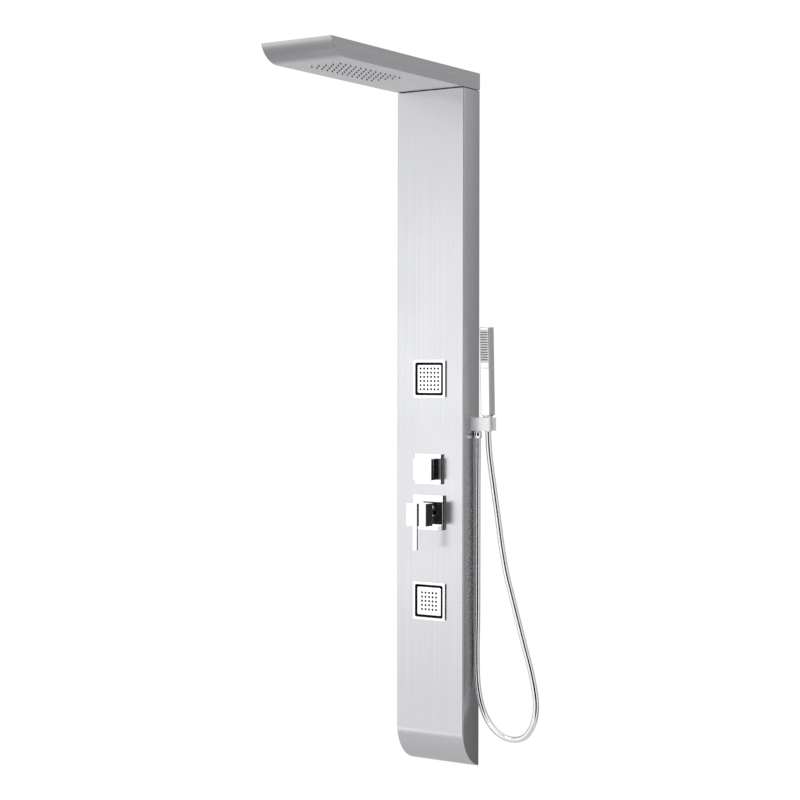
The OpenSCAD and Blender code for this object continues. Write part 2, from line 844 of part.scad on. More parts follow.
module mixer_lever() {
  top = mixer_z - handle_drop + handle_side / 2;
  color([0.88, 0.88, 0.89])
    slab([-lever_w / 2, -handle_front - lever_t, top - lever_l], [lever_w / 2, -handle_front, top]);
}

// ---- plumbing ----

// braided hose from a mixer arm down and back to the wall
module inlet_hose(x) {
  low = mixer_z - inlet_drop + hose_bend;
  color([0.6, 0.6, 0.62]) {
    translate([x, -arm_depth, low]) cylinder(r = inlet_hose_r, h = mixer_z - arm_drop - low);
    translate([x, hose_bend - arm_depth, low]) rotate([0, 90, 0])
      rotate([0, 0, -90]) rotate_extrude(angle = 90) translate([hose_bend, 0]) circle(r = inlet_hose_r);
    forward(inlet_hose_r, union_thread, arm_depth - hose_bend, x, mixer_z - inlet_drop);
  }
}
module hot_inlet_hose() { inlet_hose(-arm_x); }
module cold_inlet_hose() { inlet_hose(arm_x); }

module inlet_union_nuts() {
  color([0.75, 0.6, 0.3]) for (s = [-1, 1]) difference() {
    forward(union_nut_r, 0, union_l, s * arm_x, mixer_z - inlet_drop, 6);
    forward(union_r, -1, union_thread, s * arm_x, mixer_z - inlet_drop);
    forward(inlet_hose_r + 1, union_thread - 1, union_l + 1, s * arm_x, mixer_z - inlet_drop);
  }
}

module mixed_water_tube() {
  color([0.72, 0.45, 0.3]) tube_up(arm_depth, mixer_z + mixer_port_l, diverter_z - port_l);
}

// from the diverter to the right, up beside the upper jet's underside and out to the side
module handset_supply_tube() {
  bend_x = riser_x - riser_bend;
  color([0.72, 0.45, 0.3]) {
    translate([side_port_x, -side_depth, diverter_z]) rotate([0, 90, 0])
      cylinder(r = branch_r, h = bend_x - side_port_x);
    translate([bend_x, -side_depth, diverter_z + riser_bend]) rotate([90, 0, 0]) rotate([0, 0, -90])
      riser_elbow();
    translate([riser_x, -side_depth, diverter_z + riser_bend])
      cylinder(r = branch_r, h = elbow_z - diverter_z - 2 * riser_bend);
    translate([riser_x + riser_bend, -side_depth, elbow_z - riser_bend]) rotate([90, 0, 0])
      rotate([0, 0, 90]) riser_elbow();
    translate([riser_x + riser_bend, -side_depth, elbow_z]) rotate([0, 90, 0])
      cylinder(r = branch_r, h = riser_tip - riser_bend);
  }
}
module riser_elbow() { rotate_extrude(angle = 90) translate([riser_bend, 0]) circle(r = branch_r); }

module outlet_elbow() {
  color([0.75, 0.6, 0.3]) {
    translate([riser_x + riser_tip, -side_depth, elbow_z]) rotate([0, 90, 0])
      cylinder(r = elbow_r, h = outlet_x - riser_x - riser_tip);
    translate([outlet_x, -side_depth, elbow_z]) sphere(r = elbow_r);
    translate([outlet_x, -side_depth, holder_z]) cylinder(r = elbow_r, h = holder_h / 2);
    translate([outlet_x, -side_depth, holder_z - nipple_l]) cylinder(r = nipple_r, h = nipple_l + 1);
  }
}

module outlet_back_nut() {
  color([0.75, 0.6, 0.3])
    translate([half_w - sheet - back_nut_t, -side_depth, elbow_z]) rotate([0, 90, 0]) difference() {
      cylinder(r = back_nut_r, h = back_nut_t, $fn = 6);
      translate([0, 0, -1]) cylinder(r = elbow_r + thread_play, h = back_nut_t + 2);
    }
}

// ---- handset side ----

// places children on the holder's leaning axis, with Z = 0 at the holder's middle
module on_cradle() {
  translate([cradle_x, -side_depth, elbow_z]) rotate([lean, 0, 0]) children();
}

module handset_holder() {
  low_y = -side_depth - holder_d / 2;
  color([0.85, 0.85, 0.86]) difference() {
    slab([half_w, low_y, holder_z], [half_w + holder_w, low_y + holder_d, holder_z + holder_h]);
    translate([half_w - 1, -side_depth, elbow_z]) rotate([0, 90, 0])
      cylinder(r = elbow_r + bolt_clear, h = outlet_x - half_w + 1);
    translate([outlet_x, -side_depth, elbow_z]) sphere(r = elbow_r + bolt_clear);
    translate([outlet_x, -side_depth, holder_z - 1])
      cylinder(r = elbow_r + bolt_clear, h = holder_h / 2 + 1);
    for (s = [-1, 1])
      holder_screw_place(half_w - 1, s) cylinder(r = screw_r + thread_play, h = holder_screw_l);
    on_cradle() translate([0, 0, -cone_reach])
      cylinder(r1 = cone_low_r, r2 = cone_high_r, h = 2 * cone_reach);
    on_cradle() slab([0, -fork_gap / 2, -holder_h], [holder_w, fork_gap / 2, holder_h]);
  }
}

module holder_screws() {
  color("silver") for (s = [-1, 1])
    holder_screw_place(half_w - sheet, s) {
      translate([0, 0, -holder_screw_head]) cylinder(r = lock_head_r, h = holder_screw_head);
      cylinder(r = screw_r, h = holder_screw_l);
    }
}

module hose_outlet_nut() {
  top = holder_z - 0.5;
  low = holder_z - nut_drop;
  color([0.85, 0.85, 0.86]) translate([outlet_x, -side_depth, 0]) rotate_extrude()
    polygon([[nipple_r + thread_play, low + 5], [7, low + 5], [7, low + 4], [0, low + 4], [0, low],
             [7.7, low], [9.6, low + 8], [9.4, low + 11], [8.2, top], [nipple_r + thread_play, top]]);
}

// points of a smooth line through the route
function spline(p, q, r, s, t) =
  0.5 * (2 * q + (r - p) * t + (2 * p - 5 * q + 4 * r - s) * t * t + (3 * q - p - 3 * r + s) * t * t * t);
function on_side(p) = [p[0], -side_depth, p[1]];
hose_last = len(hose_route) - 1;
hose_points = [
  for (i = [0 : hose_last - 1], k = [0 : hose_steps - 1])
    on_side(spline(hose_route[max(i - 1, 0)], hose_route[i], hose_route[i + 1],
                   hose_route[min(i + 2, hose_last)], k / hose_steps)),
  [cradle_x, -side_depth - handset_nut_low * sin(lean), hose_route[hose_last][1]]
];
hose_rings = len(hose_points);
function unit(v) = v / norm(v);
function hose_dir(i) =
  i == 0 ? [0, 0, -1] :
  i == hose_rings - 1 ? [0, -sin(lean), cos(lean)] :
  unit(hose_points[i + 1] - hose_points[i - 1]);

module shower_hose() {
  ring_points = [
    for (i = [0 : hose_rings - 1], k = [0 : hose_sides - 1])
      let (across = unit(cross(hose_dir(i), [0, 1, 0])), out = cross(across, hose_dir(i)),
           a = 360 * k / hose_sides)
        hose_points[i] + hose_d / 2 * (cos(a) * across + sin(a) * out)
  ];
  skin = [
    for (i = [0 : hose_rings - 2], k = [0 : hose_sides - 1])
      let (n = (k + 1) % hose_sides, a = i * hose_sides, b = a + hose_sides)
        [a + k, b + k, b + n, a + n]
  ];
  first_cap = [for (k = [0 : hose_sides - 1]) k];
  last_cap = [for (k = [hose_sides - 1 : -1 : 0]) (hose_rings - 1) * hose_sides + k];
  color([0.8, 0.8, 0.82]) polyhedron(ring_points, concat([first_cap], skin, [last_cap]));
}

module hose_handset_nut() {
  color([0.85, 0.85, 0.86]) on_cradle()
    translate([0, 0, handset_nut_low])
      cylinder(r1 = handset_nut_low_r, r2 = handset_nut_high_r, h = handset_nut_l);
}

// the handset's square section with round edges, between two heights
module stick(low, high) {
  x = handset_w / 2;
  y = handset_d / 2;
  slab([-x, corner_r - y, low], [x, y - corner_r, high]);
  slab([corner_r - x, -y, low], [x - corner_r, y, high]);
  for (sx = [-1, 1], sy = [-1, 1])
    translate([sx * (x - corner_r), sy * (y - corner_r), low])
      cylinder(r = corner_r, h = high - low, $fn = 32);
}

module handset_frame() { on_cradle() translate([0, 0, grip_z - elbow_z]) children(); }

module handset_grip() {
  color([0.85, 0.85, 0.86]) handset_frame() difference() {
    union() {
      cylinder(r = grip_neck_r, h = grip_neck_l);
      stick(grip_neck_l - 1, handset_seam - handset_gap);
    }
    translate([0, 0, grip_floor]) cylinder(r = grip_bore, h = handset_seam);
  }
}

module handset_head() {
  color([0.85, 0.85, 0.86]) handset_frame() difference() {
    stick(handset_seam + handset_gap, handset_l);
    translate([0, 0, handset_seam - 1]) cylinder(r = grip_bore, h = handset_bore_l);
    slab([-face_half, -handset_d / 2 - 1, face_low], [face_half, face_t - handset_d / 2, face_high]);
    slab([-water_half, -handset_d / 2, face_low + water_end], [water_half, 4, face_high - water_end]);
  }
}

module handset_spray_face() {
  x = face_half - face_play;
  color([0.9, 0.9, 0.9]) handset_frame()
    slab([-x, -handset_d / 2, face_low + face_play], [x, face_t - handset_d / 2, face_high - face_play]);
}

module handset_nozzles() {
  color([0.3, 0.3, 0.31]) handset_frame() for (j = [0 : spray_rows - 1])
    translate([0, -handset_d / 2, spray_first + j * spray_pitch]) {
      slab([-strip_w / 2, -strip_t, -strip_h / 2], [strip_w / 2, 0, strip_h / 2]);
      for (i = [0 : spray_nubs - 1])
        translate([(i - (spray_nubs - 1) / 2) * nub_pitch, -strip_t, 0]) rotate([90, 0, 0])
          cylinder(r1 = nub_r, r2 = nub_tip_r, h = nub_out, $fn = 16);
    }
}

hung() panel_shell();
hung() panel_top_plate();
hung() rear_seal_strip();
hung() upper_wall_bracket();
hung() lower_wall_bracket();
hung() upper_hanging_bar();
hung() lower_hanging_bar();
hung() side_lock_screws();
hung() seam_gasket();
hung() head_shell();
hung() head_underplate();
hung() head_mounting_plate();
hung() head_bolts();
hung() rain_nozzles();
hung() rain_water_chamber();
hung() head_supply_tube();
hung() upper_jet_bezel();
hung() upper_jet_housing();
hung() upper_jet_swivel_ring();
hung() upper_jet_face();
hung() upper_jet_nozzles();
hung() lower_jet_bezel();
hung() lower_jet_housing();
hung() lower_jet_swivel_ring();
hung() lower_jet_face();
hung() lower_jet_nozzles();
hung() jet_gaskets();
hung() jet_lock_frames();
hung() jet_supply_manifold();
hung() diverter_valve_body();
hung() diverter_lock_nut();
hung() diverter_plate();
hung() diverter_spindle();
hung() diverter_knob();
hung() diverter_grub_screw();
hung() mixer_valve_body();
hung() mixer_cartridge();
hung() cartridge_retaining_nut();
hung() mixer_plate();
hung() mixer_sleeve();
hung() cartridge_rotor();
hung() mixer_stem();
hung() mixer_handle_block();
hung() mixer_lever();
hung() hot_inlet_hose();
hung() cold_inlet_hose();
hung() inlet_union_nuts();
hung() mixed_water_tube();
hung() handset_supply_tube();
hung() outlet_elbow();
hung() outlet_back_nut();
hung() handset_holder();
hung() holder_screws();
hung() hose_outlet_nut();
hung() shower_hose();
hung() hose_handset_nut();
hung() handset_grip();
hung() handset_head();
hung() handset_spray_face();
hung() handset_nozzles();
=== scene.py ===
"""Looks of the rainfall shower column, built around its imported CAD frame. Metres, row frame."""
import json
import math

import bmesh
import bpy
import numpy as np
from mathutils import Matrix, Vector


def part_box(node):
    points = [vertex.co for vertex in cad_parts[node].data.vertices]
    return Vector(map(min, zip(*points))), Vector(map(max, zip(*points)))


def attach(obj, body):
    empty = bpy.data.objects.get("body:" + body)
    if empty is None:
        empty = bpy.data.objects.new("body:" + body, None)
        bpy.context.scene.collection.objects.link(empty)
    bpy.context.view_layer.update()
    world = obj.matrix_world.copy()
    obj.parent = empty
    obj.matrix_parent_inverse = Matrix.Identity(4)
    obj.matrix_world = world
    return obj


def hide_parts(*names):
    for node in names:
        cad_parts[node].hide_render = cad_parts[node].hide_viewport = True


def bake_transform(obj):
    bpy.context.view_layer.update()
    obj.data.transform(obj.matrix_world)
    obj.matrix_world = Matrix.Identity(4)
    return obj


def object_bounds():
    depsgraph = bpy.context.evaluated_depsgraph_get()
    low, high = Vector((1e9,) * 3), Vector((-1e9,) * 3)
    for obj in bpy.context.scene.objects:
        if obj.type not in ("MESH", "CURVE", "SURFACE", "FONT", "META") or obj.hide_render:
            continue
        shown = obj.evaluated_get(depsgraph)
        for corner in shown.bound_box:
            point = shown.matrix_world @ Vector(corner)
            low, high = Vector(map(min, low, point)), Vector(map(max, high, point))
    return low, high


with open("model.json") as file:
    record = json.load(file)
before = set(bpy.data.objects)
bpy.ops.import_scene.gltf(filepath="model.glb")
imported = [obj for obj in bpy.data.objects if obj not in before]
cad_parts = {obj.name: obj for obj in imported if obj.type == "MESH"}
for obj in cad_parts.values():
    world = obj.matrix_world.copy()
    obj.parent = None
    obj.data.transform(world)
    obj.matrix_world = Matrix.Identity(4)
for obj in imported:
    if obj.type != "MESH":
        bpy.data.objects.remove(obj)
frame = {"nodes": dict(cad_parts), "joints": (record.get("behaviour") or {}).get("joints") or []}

cad_low, cad_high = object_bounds()
FOOT = cad_low.z

# Sizes that the frame's boxes don't give
SHEET = 0.0015  # thickness of the folded steel
BEND = 0.0025  # outer radius of its folds
FOOT_RADIUS = 0.088
NOSE_RADIUS = 0.060
HAIRLINE = 0.00015  # gap between pieces that meet
SHADE_BACK = 0.0008  # thickness of the black plates at the backs of the handles, which are painted shade: dark sheets where the handles' rears lie in shade
HOSE_DIAMETER = 0.014
HOSE_SIDES = 18
RIB_PITCH = 0.0034
RIB_DEPTH = 0.00035

# Square stick of the handset; heights count from its base
STICK_W = 0.025
STICK_D = 0.024
STICK_CORNER = 0.002
STICK_SEAM = 0.112
STICK_LENGTH = 0.205
SEAM_GAP = 0.00025
SPRAY_LOW = 0.124
SPRAY_HIGH = 0.200
SPRAY_HALF_W = 0.00975

# Local axes (u, v, w) of a piece drawn as outlines (u, v) stacked along w
FRONT = Matrix(((1, 0, 0, 0), (0, 0, -1, 0), (0, 1, 0, 0), (0, 0, 0, 1)))
SIDE = Matrix(((0, 0, 1, 0), (1, 0, 0, 0), (0, 1, 0, 0), (0, 0, 0, 1)))
UP = Matrix.Identity(4)


def joint(name):
    return next(j for j in frame["joints"] if j["name"] == name)


def middle(node):
    low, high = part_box(node)
    return (low + high) / 2


# ---------------------------------------------------------------- camera

VIEW_AZIMUTH = 33.606
VIEW_PITCH = -0.913
VIEW_ROLL = 0.065
VIEW_DISTANCE = 4.3186
AIM = Vector((-0.0901, -0.0599, FOOT + 0.8466))


def make_camera():
    azimuth, pitch = math.radians(VIEW_AZIMUTH), math.radians(VIEW_PITCH)
    forward = Vector((-math.sin(azimuth) * math.cos(pitch), math.cos(azimuth) * math.cos(pitch),
                      math.sin(pitch)))
    data = bpy.data.cameras.new("camera")
    data.lens = 83.14
    data.sensor_width = 36
    data.clip_end = 100
    camera = bpy.data.objects.new("camera", data)
    bpy.context.scene.collection.objects.link(camera)
    camera.rotation_mode = "QUATERNION"
    roll = Matrix.Rotation(math.radians(VIEW_ROLL), 4, "Z").to_quaternion()
    camera.rotation_quaternion = forward.to_track_quat("-Z", "Y") @ roll
    camera.location = AIM - forward * VIEW_DISTANCE
    bpy.context.scene.camera = camera


# ---------------------------------------------------------------- materials

def new_material(name, metallic, roughness):
    material = bpy.data.materials.new(name)
    material.use_nodes = True
    shader = material.node_tree.nodes["Principled BSDF"]
    shader.inputs["Metallic"].default_value = metallic
    shader.inputs["Roughness"].default_value = roughness
    return material, shader


def noise(tree, scale, stretch=(1, 1, 1), detail=3.0):
    """Noise in the object's own metres; stretch above 1 squeezes the pattern along that axis."""
    where = tree.nodes.new("ShaderNodeTexCoord")
    mapping = tree.nodes.new("ShaderNodeMapping")
    mapping.inputs["Scale"].default_value = stretch
    texture = tree.nodes.new("ShaderNodeTexNoise")
    texture.inputs["Scale"].default_value = scale
    texture.inputs["Detail"].default_value = detail
    tree.links.new(where.outputs["Object"], mapping.inputs["Vector"])
    tree.links.new(mapping.outputs["Vector"], texture.inputs["Vector"])
    return texture.outputs["Fac"]


def ramp(tree, value, low, high, dark, light):
    """A colour from dark to light as value goes from low to high."""
    node = tree.nodes.new("ShaderNodeValToRGB")
    first, last = node.color_ramp.elements
    first.position, last.position = low, high
    first.color, last.color = (*dark, 1), (*light, 1)
    tree.links.new(value, node.inputs["Fac"])
    return node.outputs["Color"]


def remap(tree, value, low, high, to_low, to_high):
    node = tree.nodes.new("ShaderNodeMapRange")
    for socket, number in (("From Min", low), ("From Max", high), ("To Min", to_low), ("To Max", to_high)):
        node.inputs[socket].default_value = number
    tree.links.new(value, node.inputs["Value"])
    return node.outputs["Result"]


def relief(tree, shader, height, strength, distance):
    node = tree.nodes.new("ShaderNodeBump")
    node.inputs["Strength"].default_value = strength
    node.inputs["Distance"].default_value = distance
    tree.links.new(height, node.inputs["Height"])
    tree.links.new(node.outputs["Normal"], shader.inputs["Normal"])


def varied(name, dark, light, metallic, roughness, spread=0.05, scale=60, stretch=(1, 1, 1),
           bump=0.1, depth=0.0002, mottle=9, detail=3.0):
    """A surface whose colour, gloss and relief all vary a little."""
    material, shader = new_material(name, metallic, roughness)
    tree = material.node_tree
    grain = noise(tree, scale, stretch, detail)
    tree.links.new(ramp(tree, grain, 0.3, 0.7, dark, light), shader.inputs["Base Color"])
    patches = noise(tree, mottle)
    gloss = remap(tree, patches, 0.3, 0.7, roughness - spread, roughness + spread)
    tree.links.new(gloss, shader.inputs["Roughness"])
    relief(tree, shader, grain, bump, depth)
    return material


def paint_shade_towards_wall(material, front, wall):
    """Painted shade: less bright near the wall, where a sheet would stand in its own shade."""
    tree = material.node_tree
    shader = tree.nodes["Principled BSDF"]
    colour = shader.inputs["Base Color"].links[0].from_socket
    where = tree.nodes.new("ShaderNodeTexCoord")
    split = tree.nodes.new("ShaderNodeSeparateXYZ")
    tree.links.new(where.outputs["Object"], split.inputs["Vector"])
    dim = tree.nodes.new("ShaderNodeHueSaturation")
    tree.links.new(remap(tree, split.outputs["Y"], front, 0.0, 1.0, wall), dim.inputs["Value"])
    tree.links.new(colour, dim.inputs["Color"])
    tree.links.new(dim.outputs["Color"], shader.inputs["Base Color"])
    return material


def brushed(name, dark, light, roughness, grain_axis, anisotropic=0.0):
    """Brushed stainless sheet: fine streaks along one axis over faint broad bands."""
    stretch = [1.0, 1.0, 1.0]
    stretch[grain_axis] = 0.006
    material = varied(name, dark, light, 1.0, roughness, 0.03, 240, stretch, 0.12, 0.00006, 5, 6.0)
    shader = material.node_tree.nodes["Principled BSDF"]
    shader.inputs["Anisotropic"].default_value = anisotropic
    return material


def braid(name):
    """Woven steel wire sleeve of the inlet hoses."""
    material, shader = new_material(name, 1.0, 0.35)
    tree = material.node_tree
    where = tree.nodes.new("ShaderNodeTexCoord")
    heights = []
    for turn in (math.radians(50), math.radians(-50)):
        mapping = tree.nodes.new("ShaderNodeMapping")
        mapping.inputs["Rotation"].default_value = (0, turn, 0)
        wave = tree.nodes.new("ShaderNodeTexWave")
        wave.inputs["Scale"].default_value = 120
        tree.links.new(where.outputs["Object"], mapping.inputs["Vector"])
        tree.links.new(mapping.outputs["Vector"], wave.inputs["Vector"])
        heights.append(wave.outputs["Fac"])
    cross = tree.nodes.new("ShaderNodeMath")
    cross.operation = "MAXIMUM"
    tree.links.new(heights[0], cross.inputs[0])
    tree.links.new(heights[1], cross.inputs[1])
    height = cross.outputs["Value"]
    colour = ramp(tree, height, 0.3, 0.9, (0.16, 0.16, 0.17), (0.72, 0.72, 0.74))
    tree.links.new(colour, shader.inputs["Base Color"])
    relief(tree, shader, height, 0.8, 0.0006)
    return material


def grey(level):
    return level, level, level * 1.01


def steel(level):
    """Slightly cool grey."""
    return level, level * 1.005, level * 1.04


def make_materials():
    casing_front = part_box("panel_shell")[0].y
    return {
        # The casing's steel carries painted shade, its colour darker towards the wall.
        "casing_steel": paint_shade_towards_wall(brushed("casing_steel", steel(0.66), steel(0.70), 0.24, 2, 0.5),
                                       casing_front, 0.70),
        "head_steel": brushed("head_steel", steel(0.53), steel(0.58), 0.31, 1),
        "sole_steel": brushed("sole_steel", steel(0.60), steel(0.66), 0.31, 0),
        "chrome": varied("chrome", grey(0.93), grey(0.97), 1.0, 0.045, 0.015, 35, bump=0.02, depth=0.0001),
        "satin_chrome": varied("satin_chrome", grey(0.77), grey(0.81), 1.0, 0.14, 0.03, 200, bump=0.03,
                               depth=0.00005),
        # Painted light: a lighter, half-diffuse copy of chrome, so the holder's front reads white where
        # polished chrome would mirror the grey casing side.
        "holder_chrome_painted_light": varied("holder_chrome_painted_light", grey(0.96), grey(0.99), 0.40, 0.34, 0.03, 200, bump=0.03,
                                depth=0.00005),
        "hose_chrome": varied("hose_chrome", grey(0.88), grey(0.95), 1.0, 0.07, 0.02, 150, bump=0.03,
                              depth=0.00005),
        "zinc_steel": varied("zinc_steel", (0.42, 0.43, 0.45), (0.62, 0.63, 0.66), 1.0, 0.42, 0.08, 90,
                             bump=0.15),
        "brass": varied("brass", (0.60, 0.42, 0.17), (0.78, 0.58, 0.28), 1.0, 0.34, 0.08, 120, bump=0.2),
        "copper_tube": varied("copper_tube", (0.56, 0.26, 0.15), (0.80, 0.42, 0.28), 1.0, 0.30, 0.08, 45,
                              bump=0.05),
        "black_plastic": varied("black_plastic", grey(0.008), grey(0.016), 0.0, 0.45, 0.06, 500, bump=0.15),
        "black_rubber": varied("black_rubber", grey(0.004), grey(0.010), 0.0, 0.80, 0.08, 400, bump=0.3),
        "grey_silicone": varied("grey_silicone", grey(0.10), grey(0.14), 0.0, 0.55, 0.06, 600, bump=0.2),
        "white_plastic": varied("white_plastic", (0.74, 0.74, 0.71), (0.84, 0.84, 0.81), 0.0, 0.40, 0.06,
                                300, bump=0.1),
        "spray_plastic": varied("spray_plastic", (0.80, 0.80, 0.80), (0.88, 0.88, 0.88), 0.0, 0.25, 0.04,
                                400, bump=0.05),
        "braided_hose": braid("braided_hose"),
    }


# ---------------------------------------------------------------- mesh helpers

def rounded_outline(half_u, half_v, r, steps=5):
    """Corners of a rectangle about the origin, each turned through an arc of radius r."""
    points = []
    for quarter, (su, sv) in enumerate(((1, 1), (-1, 1), (-1, -1), (1, -1))):
        for k in range(steps + 1):
            a = math.radians(90 * (quarter + k / steps))
            points.append((su * (half_u - r) + r * math.cos(a), sv * (half_v - r) + r * math.sin(a)))
    return points


def circle(r, steps=48):
    return [(r * math.cos(2 * math.pi * k / steps), r * math.sin(2 * math.pi * k / steps))
            for k in range(steps)]


def arc(centre_u, centre_v, r, start, end, steps):
    """Points on an arc, from one angle to another, in degrees."""
    angles = [math.radians(start + (end - start) * k / steps) for k in range(steps + 1)]
    return [(centre_u + r * math.cos(a), centre_v + r * math.sin(a)) for a in angles]


def ring(outline, level, axes=UP):
    return [axes @ Vector((u, v, level)) for u, v in outline]


def skin(bm, rings, ends=True, loop=False):
    """Faces between rings with equal numbers of points; ends caps them, loop joins last to first."""
    rows = [[bm.verts.new(p) for p in points] for points in rings]
    pairs = list(zip(rows, rows[1:])) + ([(rows[-1], rows[0])] if loop else [])
    for a, b in pairs:
        for i in range(len(a)):
            j = (i + 1) % len(a)
            bm.faces.new((a[i], a[j], b[j], b[i]))
    if ends and not loop:
        bm.faces.new(rows[0])
        bm.faces.new(rows[-1])


def rim(edge, steps=3):
    """Pairs (inset, climb) of a round rim of radius edge, from the flat end to the wall."""
    quarter = [math.radians(90 * k / steps) for k in range(steps + 1)]
    return [(edge * (1 - math.sin(a)), edge * (1 - math.cos(a))) for a in quarter]


def add_plate(bm, half_u, half_v, corner, low, high, edge, axes):
    """A rectangular plate with round corners and round rims on both faces."""
    near = [(inset, low + climb) for inset, climb in rim(edge)]
    far = [(inset, high - climb) for inset, climb in reversed(rim(edge))]
    skin(bm, [ring(rounded_outline(half_u - i, half_v - i, max(corner - i, edge * 0.2)), w, axes)
              for i, w in near + far])


def add_round(bm, profile, axes, steps=48):
    """A body of revolution from (radius, level) pairs, closed by small flats at its ends."""
    skin(bm, [ring(circle(r, steps), w, axes) for r, w in profile])


def add_tube(bm, profile, axes, steps=48):
    """A hollow body of revolution whose profile is a closed outline of (radius, level) pairs."""
    skin(bm, [ring(circle(r, steps), w, axes) for r, w in profile], loop=True)


def round_edges(bm, width, segments=3, angle=30):
    sharp = [e for e in bm.edges if len(e.link_faces) == 2 and e.calc_face_angle(0) > math.radians(angle)]
    bmesh.ops.bevel(bm, geom=sharp, offset=width, segments=segments, profile=0.5, affect="EDGES",
                    clamp_overlap=True)


def new_object(name, bm):
    bmesh.ops.recalc_face_normals(bm, faces=bm.faces)
    mesh = bpy.data.meshes.new(name)
    bm.to_mesh(mesh)
    bm.free()
    obj = bpy.data.objects.new(name, mesh)
    bpy.context.scene.collection.objects.link(obj)
    return obj


def carve(obj, bm):
    """Takes the closed forms in bm away from obj for good."""
    cutter = new_object("cutter", bm)
    modifier = obj.modifiers.new("carve", "BOOLEAN")
    modifier.object = cutter
    modifier.operation = "DIFFERENCE"
    modifier.solver = "EXACT"
    carved = bpy.data.meshes.new_from_object(obj.evaluated_get(bpy.context.evaluated_depsgraph_get()))
    obj.modifiers.clear()
    obj.data = carved
    bpy.data.objects.remove(cutter)


def shade(obj, angle=35):
    obj.data.shade_smooth()
    obj.data.set_sharp_from_angle(angle=math.radians(angle))
    normals = obj.modifiers.new("normals", "WEIGHTED_NORMAL")
    normals.keep_sharp = True


def place(obj, material, body, *nodes):
    """Gives a finished piece its material and its body, and hides the CAD nodes that it stands for."""
    obj.data.materials.clear()
    obj.data.materials.append(MATERIALS[material])
    shade(obj)
    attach(obj, body)
    if nodes:
        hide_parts(*nodes)
    return obj


def at(x, z, axes=FRONT, y=0.0):
    return Matrix.Translation((x, y, z)) @ axes


# ---------------------------------------------------------------- shower hose

# Route of the hose as (x, height above the foot), from the outlet nut round the loop to the handset
HOSE_ROUTE = (
    (0.1005, 0.760), (0.1005, 0.720), (0.100, 0.660), (0.100, 0.590), (0.100, 0.520), (0.100, 0.450),
    (0.100, 0.390), (0.0995, 0.335), (0.0985, 0.290), (0.0985, 0.250), (0.0995, 0.215), (0.1035, 0.180),
    (0.113, 0.143), (0.129, 0.1125), (0.1505, 0.090), (0.176, 0.078), (0.202, 0.0765), (0.225, 0.085),
    (0.241, 0.103), (0.2515, 0.129), (0.255, 0.160), (0.251, 0.194), (0.241, 0.238), (0.226, 0.287),
    (0.2095, 0.342), (0.193, 0.398), (0.177, 0.453), (0.1655, 0.509), (0.156, 0.568), (0.1465, 0.627),
    (0.137, 0.686), (0.1305, 0.733), (0.1275, 0.776),
)


def hose_points():
    """Points a few millimetres apart on a smooth line through the route."""
    depth = middle("handset_holder").y
    lean = joint("handset_lift")["axis"]
    far_end_drop = middle("handset_holder").z - (FOOT + HOSE_ROUTE[-1][1])
    keys = [Vector((x, depth, FOOT + z)) for x, z in HOSE_ROUTE]
    keys[-1].y -= far_end_drop * lean[1]
    line, steps = [], 24
    for i in range(len(keys) - 1):
        p, q, r, s = (keys[max(i - 1, 0)], keys[i], keys[i + 1], keys[min(i + 2, len(keys) - 1)])
        for k in range(steps):
            t = k / steps
            line.append(0.5 * (2 * q + (r - p) * t + (2 * p - 5 * q + 4 * r - s) * t ** 2
                               + (3 * q - p - 3 * r + s) * t ** 3))
    return line + [keys[-1]]


def make_hose():
    line = np.array(hose_points())
    travelled = np.concatenate(([0], np.cumsum(np.linalg.norm(np.diff(line, axis=0), axis=1))))
    length = travelled[-1]
    ribs = round(length / RIB_PITCH)
    groove = 0.05
    profile = ((0.0, RIB_DEPTH), (groove, 0.0), (1 - groove, 0.0))
    stops = [((n + share) / ribs * length, dip) for n in range(ribs) for share, dip in profile]
    stops.append((length, RIB_DEPTH))
    reach = np.array([s for s, _ in stops])
    centres = np.stack([np.interp(reach, travelled, line[:, k]) for k in range(3)], axis=1)
    ways = np.gradient(centres, axis=0)
    bm = bmesh.new()
    rings = []
    for centre, way, (_, dip) in zip(centres, ways, stops):
        along = Vector(way).normalized()
        across = along.cross(Vector((0, 1, 0))).normalized()
        out = across.cross(along)
        axes = Matrix.Translation(centre) @ Matrix((across, out, along)).transposed().to_4x4()
        rings.append(ring(circle(HOSE_DIAMETER / 2 - dip, HOSE_SIDES), 0, axes))
    skin(bm, rings)
    hose = new_object("hose", bm)
    hose.data.materials.append(MATERIALS["hose_chrome"])
    shade(hose, 30)
    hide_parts("shower_hose")
    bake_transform(hose)
    share_handset([s / length for s, _ in stops], HOSE_SIDES)
    return hose


def share_handset(shares, sides):
    """Weights by arc length, nought down the casing's first leg and rising to one at the handset end;
    nothing uses them.
    """
    loop_start = 0.45
    weights = []
    for share in shares:
        t = min(max((share - loop_start) / (1 - loop_start), 0), 1)
        weights += [t * t * (3 - 2 * t)] * sides


# ---------------------------------------------------------------- casing

def casing_ring(reach_back, reach_front, angle, lift):
    """Section of the folded sheet. Reaches are counted from the foot curve's axis, at an angle down."""
    panel_low, panel_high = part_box("panel_shell")
    half = panel_high.x
    axis_y = panel_low.y + FOOT_RADIUS
    axis_z = FOOT + math.sqrt(FOOT_RADIUS ** 2 - axis_y ** 2)

    def line(inset):
        x, front, r = half - inset, reach_front - inset, BEND - inset
        right = [(x, reach_back)] + arc(x - r, front - r, r, 0, 90, 5)
        return right + [(-u, v) for u, v in reversed(right)]

    section = line(0) + line(SHEET)[::-1]
    return [Vector((u, axis_y - v * math.cos(angle), axis_z - v * math.sin(angle) + lift))
            for u, v in section]


